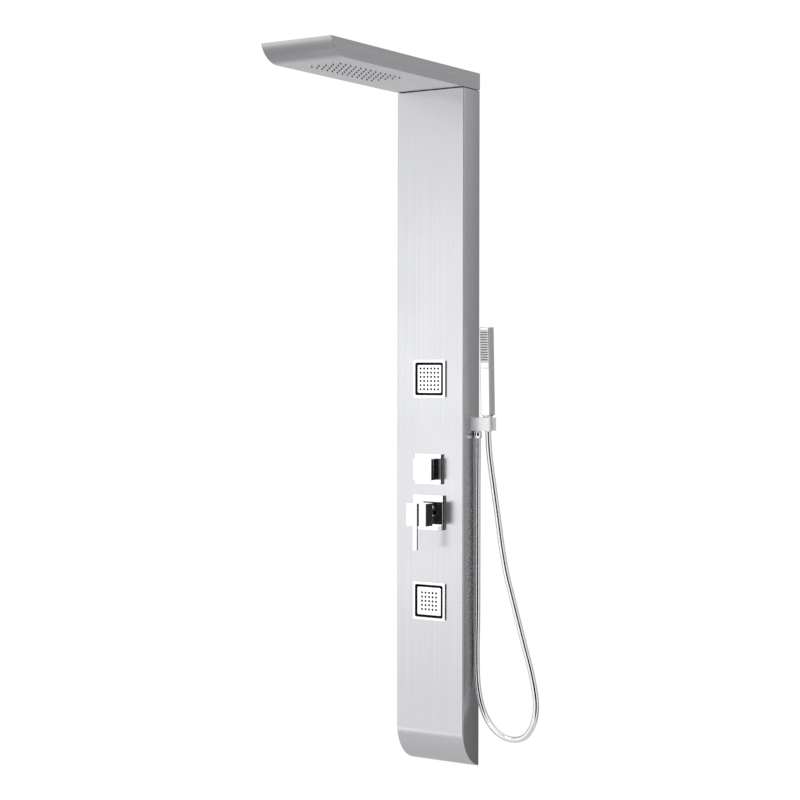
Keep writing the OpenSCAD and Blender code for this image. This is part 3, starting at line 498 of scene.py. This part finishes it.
def make_casing():
    panel_low, panel_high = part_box("panel_shell")
    axis_y = panel_low.y + FOOT_RADIUS
    curve_height = math.sqrt(FOOT_RADIUS ** 2 - axis_y ** 2)
    back = axis_y - panel_high.y
    last = math.acos(back / (FOOT_RADIUS - BEND - SHEET))
    turns = [last * (1 - k / 24) for k in range(25)]
    rings = [casing_ring(back / math.cos(a), FOOT_RADIUS, a, 0) for a in turns]
    straight = panel_high.z - FOOT - curve_height
    rings += [casing_ring(back, FOOT_RADIUS, 0, straight * k / 6) for k in range(1, 7)]
    bm = bmesh.new()
    skin(bm, rings, ends=False)
    cap_section(bm, len(rings[0]))
    casing = new_object("casing_sheet", bm)
    carve(casing, casing_holes())
    place(casing, "casing_steel", "root", "panel_shell")
    make_flanges()


def cap_section(bm, count):
    """Closes the first and last sections of the sheet with strips of four-cornered faces."""
    bm.verts.ensure_lookup_table()
    for start in (0, len(bm.verts) - count):
        row = bm.verts[start:start + count]
        for i in range(count // 2 - 1):
            bm.faces.new((row[i], row[i + 1], row[count - 2 - i], row[count - 1 - i]))


def casing_holes():
    """Openings for the two jets and the two valves, through the front sheet only."""
    depth = -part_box("panel_shell")[0].y
    low, high = depth - 6 * SHEET, depth + 6 * SHEET
    bm = bmesh.new()
    for jet in ("upper_jet_housing", "lower_jet_housing"):
        cup_low, cup_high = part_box(jet)
        half = (cup_high.x - cup_low.x) / 2 + HAIRLINE
        outline = rounded_outline(half, half, SHEET)
        axes = at(0, middle(jet).z)
        skin(bm, [ring(outline, low, axes), ring(outline, high, axes)])
    for node, hole_radius in (("diverter_lock_nut", 0.017), ("mixer_sleeve", 0.020)):
        axes = at(0, middle(node).z)
        skin(bm, [ring(circle(hole_radius), low, axes), ring(circle(hole_radius), high, axes)])
    return bm


def make_flanges():
    """Returns of the casing's sheet along its rear edges."""
    panel_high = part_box("panel_shell")[1]
    half, width, end_gap, edge = panel_high.x, 0.014, 0.010, 0.0004
    centre = (panel_high.z + FOOT) / 2 + end_gap
    reach = (panel_high.z - FOOT) / 2 - end_gap
    bm = bmesh.new()
    for side in (-1, 1):
        axes = at(side * (half - SHEET - width / 2), centre)
        add_plate(bm, width / 2, reach, SHEET, -panel_high.y, SHEET - panel_high.y, edge, axes)
    place(new_object("casing_flanges", bm), "casing_steel", "root", "panel_shell")


# ---------------------------------------------------------------- rain head

def nose_profile(inset, top):
    """Underside of the head from the wall to the top of its nose, moved inwards by inset."""
    low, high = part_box("head_shell")
    tangent = low.y + math.sqrt(NOSE_RADIUS ** 2 - (NOSE_RADIUS - (high.z - low.z)) ** 2)
    rise = math.degrees(math.asin((top - low.z - NOSE_RADIUS) / (NOSE_RADIUS - inset)))
    curve = arc(tangent, low.z + NOSE_RADIUS, NOSE_RADIUS - inset, 270, 180 - rise, 20)
    return [(high.y - SHEET, low.z + inset)] + curve


def make_head_lid():
    """Top, sides and rear of the head: one shell, open underneath."""
    low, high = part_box("head_shell")
    half, edge = high.x, 0.0012
    whole = nose_profile(0, high.z)[1:] + [(high.y, high.z), (high.y, low.z)]
    bm = bmesh.new()
    skin(bm, [ring(whole, -half, SIDE), ring(whole, half, SIDE)])
    round_edges(bm, edge)
    lid = new_object("head_lid", bm)
    inner_half = (-SHEET - (low.y - half)) / 2
    depth_middle = (low.y - half - SHEET) / 2
    axes = Matrix.Translation((0, depth_middle, 0)) @ SIDE
    box = [(-inner_half, low.z - half), (inner_half, low.z - half), (inner_half, high.z - SHEET),
           (-inner_half, high.z - SHEET)]
    cavity = bmesh.new()
    skin(cavity, [ring(box, SHEET - half, axes), ring(box, half - SHEET, axes)])
    carve(lid, cavity)
    place(lid, "head_steel", "root", "head_shell")


def make_head_sole():
    """Bent sheet under the head, from the wall to the top of the nose, with the nozzles' holes."""
    low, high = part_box("head_shell")
    outer, inner = nose_profile(0, high.z - SHEET), nose_profile(SHEET, high.z - SHEET)
    reach = high.x - SHEET - HAIRLINE
    ribbon = outer + inner[::-1]
    bm = bmesh.new()
    skin(bm, [ring(ribbon, -reach, SIDE), ring(ribbon, reach, SIDE)])
    sole = new_object("head_sole", bm)
    holes = bmesh.new()
    hole, below, above = circle(0.0023, 16), -0.003, 0.004
    for x, y in rain_places():
        axes = Matrix.Translation((x, y, low.z))
        skin(holes, [ring(hole, below, axes), ring(hole, above, axes)])
    carve(sole, holes)
    place(sole, "sole_steel", "root", "head_underplate")


def rain_places():
    """Centres of the rain nozzles, spread evenly over the box of their node."""
    low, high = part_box("rain_nozzles")
    columns, rows, collar = 5, 13, 0.0032
    xs = np.linspace(low.x + collar, high.x - collar, columns)
    ys = np.linspace(low.y + collar, high.y - collar, rows)
    return [(float(x), float(y)) for x in xs for y in ys]


def make_rain_nozzles():
    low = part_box("rain_nozzles")[0]
    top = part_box("head_shell")[0].z
    drop = low.z - top
    profile = ((0.0008, 0.0012), (0.0021, 0.0012), (0.0021, -0.0002), (0.0019, -0.0006),
               (0.0016, drop + 0.0004), (0.0013, drop), (0.0007, drop), (0.0006, drop + 0.0008))
    bm = bmesh.new()
    for x, y in rain_places():
        add_round(bm, profile, Matrix.Translation((x, y, top)), 14)
    place(new_object("rain_nubs", bm), "grey_silicone", "root", "rain_nozzles")


# ---------------------------------------------------------------- body jets

def make_jet_frame(name, axes):
    """Chrome bezel with a square window."""
    low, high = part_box(name + "_bezel")
    half = (high.x - low.x) / 2
    frame_width, corner, edge = 0.00625, 0.004, 0.0006
    window = half - frame_width
    back, front = -high.y, -low.y
    outer = [(i, front - climb) for i, climb in reversed(rim(edge))]
    inner = [(i, front - climb) for i, climb in rim(edge)]
    rings = [ring(rounded_outline(half, half, corner), back, axes)]
    rings += [ring(rounded_outline(half - i, half - i, corner - i), w, axes) for i, w in outer]
    rings += [ring(rounded_outline(window + i, window + i, corner + i), w, axes) for i, w in inner]
    rings += [ring(rounded_outline(window, window, corner), back, axes)]
    bm = bmesh.new()
    skin(bm, rings, loop=True)
    place(new_object(name + "_frame", bm), "chrome", "root", name + "_bezel")


def make_jet_plate(name, axes):
    """Moving chrome face with its neck and ball."""
    low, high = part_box(name + "_face")
    half, thickness = (high.x - low.x) / 2 - HAIRLINE, 0.005
    corner, edge = 0.003, 0.0005
    ball_depth, ball_radius, stem_radius = 0.058, 0.011, 0.007
    front = -low.y
    bm = bmesh.new()
    add_plate(bm, half, half, corner, front - thickness, front, edge, axes)
    angles = [math.radians(a) for a in range(-84, 55, 6)]
    ball = [(ball_radius * math.cos(a), ball_depth + ball_radius * math.sin(a)) for a in angles]
    add_round(bm, ball + [(stem_radius, front - thickness + 0.001)], axes)
    place(new_object(name + "_plate", bm), "chrome", name, name + "_face")


def make_jet_nubs(name, centre, count):
    """Square field of rubber nozzles, each with a collar round its foot and a small bore. The black collar
    sits flush with the face; it is partly the nozzle's rubber and partly painted shade for the dark ring of
    a hole round each nozzle.
    """
    low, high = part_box(name + "_nozzles")
    front, tip = -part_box(name + "_face")[0].y, -low.y
    # collar: black ring flush with the face, partly painted shade round each nozzle
    collar, shaft, point, bore = 0.0029, 0.0022, 0.0016, 0.0007
    root = front - 0.0012
    pitch = (high.x - low.x - 2 * shaft) / (count - 1)
    profile = ((bore + 0.0001, root), (collar, root), (collar, front), (shaft, front + 0.0003),
               (point, tip - 0.0002), (point - 0.0003, tip), (bore, tip), (bore - 0.0001, tip - 0.0006))
    bm = bmesh.new()
    for i in range(count):
        for j in range(count):
            x, z = ((k - (count - 1) / 2) * pitch for k in (i, j))
            add_round(bm, profile, at(centre.x + x, centre.z + z), 16)
    place(new_object(name + "_nubs", bm), "black_rubber", name, name + "_nozzles")


def make_jet(name, count):
    centre = middle(name + "_bezel")
    axes = at(centre.x, centre.z)
    make_jet_frame(name, axes)
    make_jet_plate(name, axes)
    make_jet_nubs(name, centre, count)


# ---------------------------------------------------------------- controls

def square_piece(name, node, material, body, corner, edge, near=None):
    """A square block or plate with round corners and rims, as large as its CAD node."""
    low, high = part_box(node)
    centre = (low + high) / 2
    bm = bmesh.new()
    back = -high.y if near is None else near
    add_plate(bm, (high.x - low.x) / 2, (high.z - low.z) / 2, corner, back, -low.y, edge,
              at(centre.x, centre.z))
    return name, bm, material, body, node


def make_plates():
    for name, node in (("diverter_base", "diverter_plate"), ("mixer_base", "mixer_plate")):
        name, bm, material, body, node = square_piece(name, node, "chrome", "root", 0.0012, 0.0006)
        place(new_object(name, bm), material, body, node)


def make_shade_back(name, node, body, side, depth):
    """Black plate that closes the rear of a polished square handle: painted shade, a dark sheet put where
    the handle's rear lies in shade.
    """
    centre = middle(node)
    half, corner, edge = side / 2 - 0.0006, 0.0010, 0.0002
    bm = bmesh.new()
    add_plate(bm, half, half, corner, depth, depth + SHADE_BACK, edge, at(centre.x, centre.z))
    place(new_object(name, bm), "black_plastic", body, node)


def make_diverter_knob():
    low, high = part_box("diverter_knob")
    thickness, neck, spindle, edge = 0.017, 0.015, 0.003, 0.0006
    centre = middle("diverter_knob")
    front = -low.y
    name, bm, material, body, node = square_piece("diverter_handle", "diverter_knob", "chrome", "diverter",
                                                  0.0014, 0.0009, front - thickness + SHADE_BACK)
    near = -high.y
    profile = [(neck - edge, near), (neck, near + edge), (neck, front - thickness + SHADE_BACK)]
    add_round(bm, [(spindle, near)] + profile, at(centre.x, centre.z))
    place(new_object(name, bm), material, body, node)
    # Black plate at the knob's rear: painted shade.
    make_shade_back("knob_shade_back", "diverter_knob", "diverter", high.x - low.x, front - thickness)


def make_mixer():
    sleeve_low, sleeve_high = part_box("mixer_sleeve")
    centre = middle("mixer_sleeve")
    outer, bore, edge = (sleeve_high.x - sleeve_low.x) / 2, 0.015, 0.0008
    near, far = -sleeve_high.y, -sleeve_low.y
    profile = [(outer, near)] + [(outer - i, far - c) for i, c in reversed(rim(edge))]
    profile += [(bore + edge / 2, far), (bore, far - edge / 2), (bore, near)]
    bm = bmesh.new()
    add_tube(bm, profile, at(centre.x, centre.z), 64)
    place(new_object("mixer_collar", bm), "chrome", "root", "mixer_sleeve")
    low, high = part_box("mixer_handle_block")
    name, bm, material, body, node = square_piece("mixer_block", "mixer_handle_block", "chrome",
                                                  "mixer_handle", 0.0014, 0.0009, SHADE_BACK - high.y)
    place(new_object(name, bm), material, body, node)
    # Black plate at the mixer block's rear: painted shade.
    make_shade_back("mixer_shade_back", "mixer_handle_block", "mixer_handle", high.x - low.x, -high.y)
    name, bm, material, body, node = square_piece("mixer_bar", "mixer_lever", "chrome", "mixer_handle",
                                                  0.0008, 0.0005)
    place(new_object(name, bm), material, body, node)


# ---------------------------------------------------------------- handset and its holder

CRADLE = Vector((middle("hose_handset_nut").x, middle("handset_holder").y, middle("handset_holder").z))
LEAN = math.asin(-joint("handset_lift")["axis"][1])
ON_CRADLE = Matrix.Translation(CRADLE) @ Matrix.Rotation(LEAN, 4, "X")


def make_holder():
    """Block with a tapered fork that is open to the side, for the nut of the handset's hose."""
    low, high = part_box("handset_holder")
    half_gap, bottom_radius, top_radius, edge = 0.0075, 0.0083, 0.0106, 0.0009
    bm = bmesh.new()
    rings = []
    for level, radius in ((low.z, bottom_radius), (high.z, top_radius)):
        y = CRADLE.y - (level - CRADLE.z) * math.tan(LEAN)
        start = math.degrees(math.asin(half_gap / radius))
        seat = arc(CRADLE.x, y, radius, -start, start - 360, 28)
        outline = [(high.x, high.y), (low.x, high.y), (low.x, low.y), (high.x, low.y),
                   (high.x, y - half_gap)] + seat + [(high.x, y + half_gap)]
        rings.append(ring(outline, level))
    skin(bm, rings)
    round_edges(bm, edge, angle=40)
    # The holder takes the lighter copy of chrome, painted light.
    place(new_object("holder_block", bm), "holder_chrome_painted_light", "root", "handset_holder")


def make_outlet_nut():
    """Barrel nut where the hose starts."""
    low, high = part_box("hose_outlet_nut")
    centre = middle("hose_outlet_nut")
    axes = Matrix.Translation((centre.x, centre.y, low.z))
    tall = high.z - low.z
    bore, mouth, belly, edge, belly_height = 0.0020, 0.0078, 0.0018, 0.0004, 0.0076
    profile = [(bore, 0), (mouth - edge, 0), (mouth, edge)]
    profile += [(mouth + belly * math.sin(math.radians(90 * k / 8)), edge + belly_height * k / 8)
                for k in range(1, 9)]
    profile += [(0.0094, 0.011), (0.0090, 0.0135), (0.0084, tall - 0.001), (mouth, tall - edge),
                (0.0070, tall), (0.0066, tall)]
    bm = bmesh.new()
    add_round(bm, profile, axes)
    place(new_object("outlet_nut", bm), "chrome", "root", "hose_outlet_nut")


def make_handset_nut():
    """Cone nut in the holder's fork, with four fine rings round its foot."""
    reach, foot_radius, flare, bore, groove = 0.017, 0.0078, 0.003, 0.0020, 0.0004
    first_ring, ring_pitch = -0.0155, 0.0016
    profile = [(bore, -reach), (0.0072, -reach), (0.0077, 0.0006 - reach)]
    for k in range(4):
        level = first_ring + ring_pitch * k
        radius = foot_radius + flare * (level + reach) / (2 * reach)
        profile += [(radius, level), (radius - groove, level + groove), (radius, level + 2 * groove)]
    profile += [(0.0101, reach - 0.0008), (0.0104, reach - 0.0003), (0.0100, reach)]
    bm = bmesh.new()
    add_round(bm, profile, ON_CRADLE)
    place(new_object("handset_nut", bm), "chrome", "handset", "hose_handset_nut")


def stick_axes():
    """Frame of the handset, whose w runs up the stick from its base."""
    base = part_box("handset_holder")[1].z + 0.002 - CRADLE.z
    return ON_CRADLE @ Matrix.Translation((0, 0, base))


def stick_ring(axes, level, inset=0.0, corner=STICK_CORNER):
    outline = rounded_outline(STICK_W / 2 - inset, STICK_D / 2 - inset, max(corner - inset, 0.0006), 5)
    return ring(outline, level, axes)


def make_grip(axes):
    """Lower length of the stick, which narrows to a round neck at its foot."""
    seam = STICK_SEAM - SEAM_GAP
    neck = ((0.0105, 0.0100, 0), (0.0111, 0.0104, 0.0006), (0.0112, 0.0100, 0.0022))
    rings = [ring(rounded_outline(half, half, corner, 5), level, axes) for half, corner, level in neck]
    rings += [stick_ring(axes, 0.0050, 0.0003), stick_ring(axes, 0.0056), stick_ring(axes, seam - 0.0006),
              stick_ring(axes, seam - 0.0002, 0.0002), stick_ring(axes, seam, 0.0006)]
    bm = bmesh.new()
    skin(bm, rings)
    place(new_object("grip", bm), "satin_chrome", "handset", "handset_grip")


def make_spray_head(axes, front):
    """Upper length of the stick, with a pocket for the spray plate. front is the pocket's frame."""
    seam, edge, corner = STICK_SEAM + SEAM_GAP, 0.0018, STICK_CORNER + 0.0006
    rings = [stick_ring(axes, seam, 0.0006), stick_ring(axes, seam + 0.0002, 0.0002),
             stick_ring(axes, seam + 0.0006)]
    rings += [stick_ring(axes, STICK_LENGTH - climb, inset, corner)
              for inset, climb in reversed(rim(edge, 5))]
    bm = bmesh.new()
    skin(bm, rings)
    head = new_object("spray_head", bm)
    pocket = bmesh.new()
    outline = rounded_outline(SPRAY_HALF_W, (SPRAY_HIGH - SPRAY_LOW) / 2, 0.0012)
    skin(pocket, [ring(outline, STICK_D / 2 - 0.0025, front), ring(outline, STICK_D / 2 + 0.002, front)])
    carve(head, pocket)
    place(head, "satin_chrome", "handset", "handset_head")


def make_spray_face(axes, front):
    """White plate in the pocket, and dark strips across it with five nubs each."""
    surface = STICK_D / 2
    bm = bmesh.new()
    add_plate(bm, SPRAY_HALF_W - HAIRLINE, (SPRAY_HIGH - SPRAY_LOW) / 2 - HAIRLINE, 0.0011,
              surface - 0.0024, surface - 0.0001, 0.0003, front)
    place(new_object("spray_plate", bm), "spray_plastic", "handset", "handset_spray_face")

    first, pitch, rows, nub_pitch = 0.131, 0.0057, 12, 0.004
    strip_half_w, strip_half_h, strip_corner, strip_edge = 0.00925, 0.0011, 0.0009, 0.0002
    nub_profile = [(0.0010, 0), (0.0009, 0.0004), (0.0006, 0.0007), (0.0003, 0.0007), (0.0002, 0.0004)]
    bm = bmesh.new()
    for j in range(rows):
        row = axes @ Matrix.Translation((0, 0, first + j * pitch)) @ FRONT
        add_plate(bm, strip_half_w, strip_half_h, strip_corner, surface - 0.0006, surface + 0.0001,
                  strip_edge, row)
        for i in range(-2, 3):
            add_round(bm, nub_profile, row @ Matrix.Translation((i * nub_pitch, 0, surface)), 12)
    place(new_object("spray_strips", bm), "grey_silicone", "handset", "handset_nozzles")


def make_handset():
    """Square stick in two lengths, with a spray face of dark strips near its top."""
    axes = stick_axes()
    front = axes @ Matrix.Translation((0, 0, (SPRAY_LOW + SPRAY_HIGH) / 2)) @ FRONT
    make_grip(axes)
    make_spray_head(axes, front)
    make_spray_face(axes, front)


def make_lock_screws():
    """Round-headed screws with a hexagon socket, one on each side of the casing."""
    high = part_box("side_lock_screws")[1]
    centre = middle("side_lock_screws")
    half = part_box("panel_shell")[1].x
    head_r, shank_r, socket_r, depth = 0.0035, 0.0020, 0.0013, 0.008
    rim_height, proud = 0.0004, high.x - half
    bm = bmesh.new()
    for side in (-1, 1):
        turn = Matrix.Rotation(math.radians(90 * side), 4, "Y")
        axes = Matrix.Translation((side * half, centre.y, centre.z)) @ turn
        profile = [(shank_r / 5, -depth), (shank_r, -depth), (shank_r, 0.0), (head_r, 0.0)]
        profile += [(head_r * math.cos(a), rim_height + (proud - rim_height) * math.sin(a))
                    for a in (math.radians(15 * k) for k in range(4))]
        profile += [(socket_r, proud), (socket_r - 0.0002, proud - 0.0008)]
        add_round(bm, profile, axes, 24)
    place(new_object("lock_screws", bm), "zinc_steel", "root", "side_lock_screws")


# ---------------------------------------------------------------- CAD nodes that stay

KEPT = {
    "zinc_steel": ("panel_top_plate", "upper_wall_bracket", "lower_wall_bracket", "upper_hanging_bar",
                   "lower_hanging_bar", "head_mounting_plate", "head_bolts", "holder_screws",
                   "diverter_grub_screw", "cartridge_rotor"),
    "black_rubber": ("rear_seal_strip", "seam_gasket", "jet_gaskets"),
    "black_plastic": ("upper_jet_housing", "lower_jet_housing", "upper_jet_swivel_ring",
                      "lower_jet_swivel_ring", "jet_lock_frames"),
    "brass": ("diverter_valve_body", "diverter_lock_nut", "mixer_valve_body", "cartridge_retaining_nut",
              "inlet_union_nuts", "outlet_elbow", "outlet_back_nut", "diverter_spindle"),
    "copper_tube": ("jet_supply_manifold", "head_supply_tube", "mixed_water_tube", "handset_supply_tube"),
    "white_plastic": ("rain_water_chamber", "mixer_cartridge"),
    "braided_hose": ("hot_inlet_hose", "cold_inlet_hose"),
    "chrome": ("mixer_stem",),
}


def dress_kept_nodes():
    """New materials and small edge rounds for the CAD nodes that show as they are."""
    for material, names in KEPT.items():
        for name in names:
            node = frame["nodes"][name]
            node.data.materials.clear()
            node.data.materials.append(MATERIALS[material])
            weld = node.modifiers.new("weld", "WELD")
            weld.merge_threshold = 0.00001
            bevel = node.modifiers.new("edges", "BEVEL")
            bevel.width = 0.0004
            bevel.segments = 2
            bevel.limit_method = "ANGLE"
            bevel.angle_limit = math.radians(40)
            bevel.harden_normals = False


# ---------------------------------------------------------------- studio

def fade_between(tree, value, none, full):
    """0 where value is at none and 1 where it is at full, with soft ends."""
    node = tree.nodes.new("ShaderNodeMapRange")
    node.interpolation_type = "SMOOTHSTEP"
    node.inputs["From Min"].default_value = none
    node.inputs["From Max"].default_value = full
    tree.links.new(value, node.inputs["Value"])
    return node.outputs["Result"]


def soft_card(tree, base, direction, inner, outer, level, band=None):
    """World light that turns to level within inner degrees of a direction and fades out at outer.

    band keeps the card between two elevations: whole under the first, gone above the second.
    """
    where = tree.nodes.new("ShaderNodeTexCoord")
    dot = tree.nodes.new("ShaderNodeVectorMath")
    dot.operation = "DOT_PRODUCT"
    dot.inputs[1].default_value = Vector(direction).normalized()
    tree.links.new(where.outputs["Generated"], dot.inputs[0])
    share = fade_between(tree, dot.outputs["Value"], math.cos(math.radians(outer)),
                         math.cos(math.radians(inner)))
    if band:
        split = tree.nodes.new("ShaderNodeSeparateXYZ")
        tree.links.new(where.outputs["Generated"], split.inputs["Vector"])
        height = tree.nodes.new("ShaderNodeMath")
        height.operation = "ABSOLUTE"
        tree.links.new(split.outputs["Z"], height.inputs[0])
        low, high = (math.sin(math.radians(a)) for a in band)
        both = tree.nodes.new("ShaderNodeMath")
        both.operation = "MULTIPLY"
        tree.links.new(share, both.inputs[0])
        tree.links.new(fade_between(tree, height.outputs["Value"], high, low), both.inputs[1])
        share = both.outputs["Value"]
    mix = tree.nodes.new("ShaderNodeMix")
    mix.data_type = "FLOAT"
    tree.links.new(share, mix.inputs["Factor"])
    if isinstance(base, float):
        mix.inputs["A"].default_value = base
    else:
        tree.links.new(base, mix.inputs["A"])
    mix.inputs["B"].default_value = level
    return mix.outputs["Result"]


def make_world():
    """A white backdrop for the camera and soft cards of light and dark for the steel to mirror."""
    world = bpy.data.worlds.new("studio")
    bpy.context.scene.world = world
    world.use_nodes = True
    tree = world.node_tree
    light = soft_card(tree, 0.50, (0, 0, -1), 20, 85, 0.34)
    light = soft_card(tree, light, (0, 0, 1), 10, 60, 0.95)
    light = soft_card(tree, light, (-0.55, -0.83, 0.0), 20, 44, 1.30)
    light = soft_card(tree, light, (-0.55, -0.83, 0.0), 11, 18, 0.60)
    light = soft_card(tree, light, (-0.55, -0.83, -0.017), 0, 12, 1.44)
    light = soft_card(tree, light, (-0.55, 0.83, -0.1), 10, 45, 0.70)
    light = soft_card(tree, light, (-0.55, 0.0, 0.83), 8, 26, 0.10)
    light = soft_card(tree, light, (-1.0, 0.1, 0.0), 6, 20, 0.12)
    light = soft_card(tree, light, (0.55, 0.83, 0.25), 10, 40, 0.56)
    light = soft_card(tree, light, (0.55, 0.83, -0.35), 8, 26, 0.14)
    light = soft_card(tree, light, (0.95, -0.30, 0.0), 8, 28, 1.0)
    light = soft_card(tree, light, (0.55, 0.83, 0.0), 5, 12, 0.37)
    light = soft_card(tree, light, (0.553, -0.833, 0.0), 34, 60, 1.3)
    light = soft_card(tree, light, (0.553, -0.833, 0.0), 30, 35, 0.0, (20, 28))
    rays = tree.nodes.new("ShaderNodeLightPath")
    mix = tree.nodes.new("ShaderNodeMix")
    mix.data_type = "FLOAT"
    tree.links.new(rays.outputs["Is Camera Ray"], mix.inputs["Factor"])
    tree.links.new(light, mix.inputs["A"])
    mix.inputs["B"].default_value = 1.02
    tree.links.new(mix.outputs["Result"], tree.nodes["Background"].inputs["Color"])


def area_light(name, position, aim, width, height, power):
    data = bpy.data.lights.new(name, "AREA")
    data.shape = "RECTANGLE"
    data.size, data.size_y = width, height
    data.energy = power
    lamp = bpy.data.objects.new(name, data)
    bpy.context.scene.collection.objects.link(lamp)
    lamp.location = position
    lamp.rotation_mode = "QUATERNION"
    lamp.rotation_quaternion = (Vector(aim) - Vector(position)).to_track_quat("-Z", "Y")


def make_studio():
    make_world()
    centre = (cad_low + cad_high) / 2
    area_light("key", centre + Vector((-1.6, -0.8, 3.2)), centre, 1.5, 1.5, 14)
    bm = bmesh.new()
    drop, radius = 0.45, 1.3
    axes = Matrix.Translation((centre.x, centre.y, FOOT - drop))
    profile = [(radius - 0.01, -0.02), (radius, -0.01), (radius, -0.004), (radius - 0.004, 0.0)]
    add_round(bm, profile, axes, 96)
    floor = new_object("floor", bm)
    floor.data.materials.append(varied("pale_floor", (0.86, 0.86, 0.86), (0.9, 0.9, 0.9), 0.0, 0.6))
    view = bpy.context.scene.view_settings
    view.view_transform = "Standard"
    view.look = "None"
    view.exposure = 0.0


# ---------------------------------------------------------------- assembly

make_camera()
MATERIALS = make_materials()
make_hose()
make_casing()
make_head_lid()
make_head_sole()
make_rain_nozzles()
make_jet("upper_jet", 6)
make_jet("lower_jet", 5)
make_plates()
make_diverter_knob()
make_mixer()
make_holder()
make_outlet_nut()
make_handset_nut()
make_handset()
make_lock_screws()
dress_kept_nodes()
make_studio()
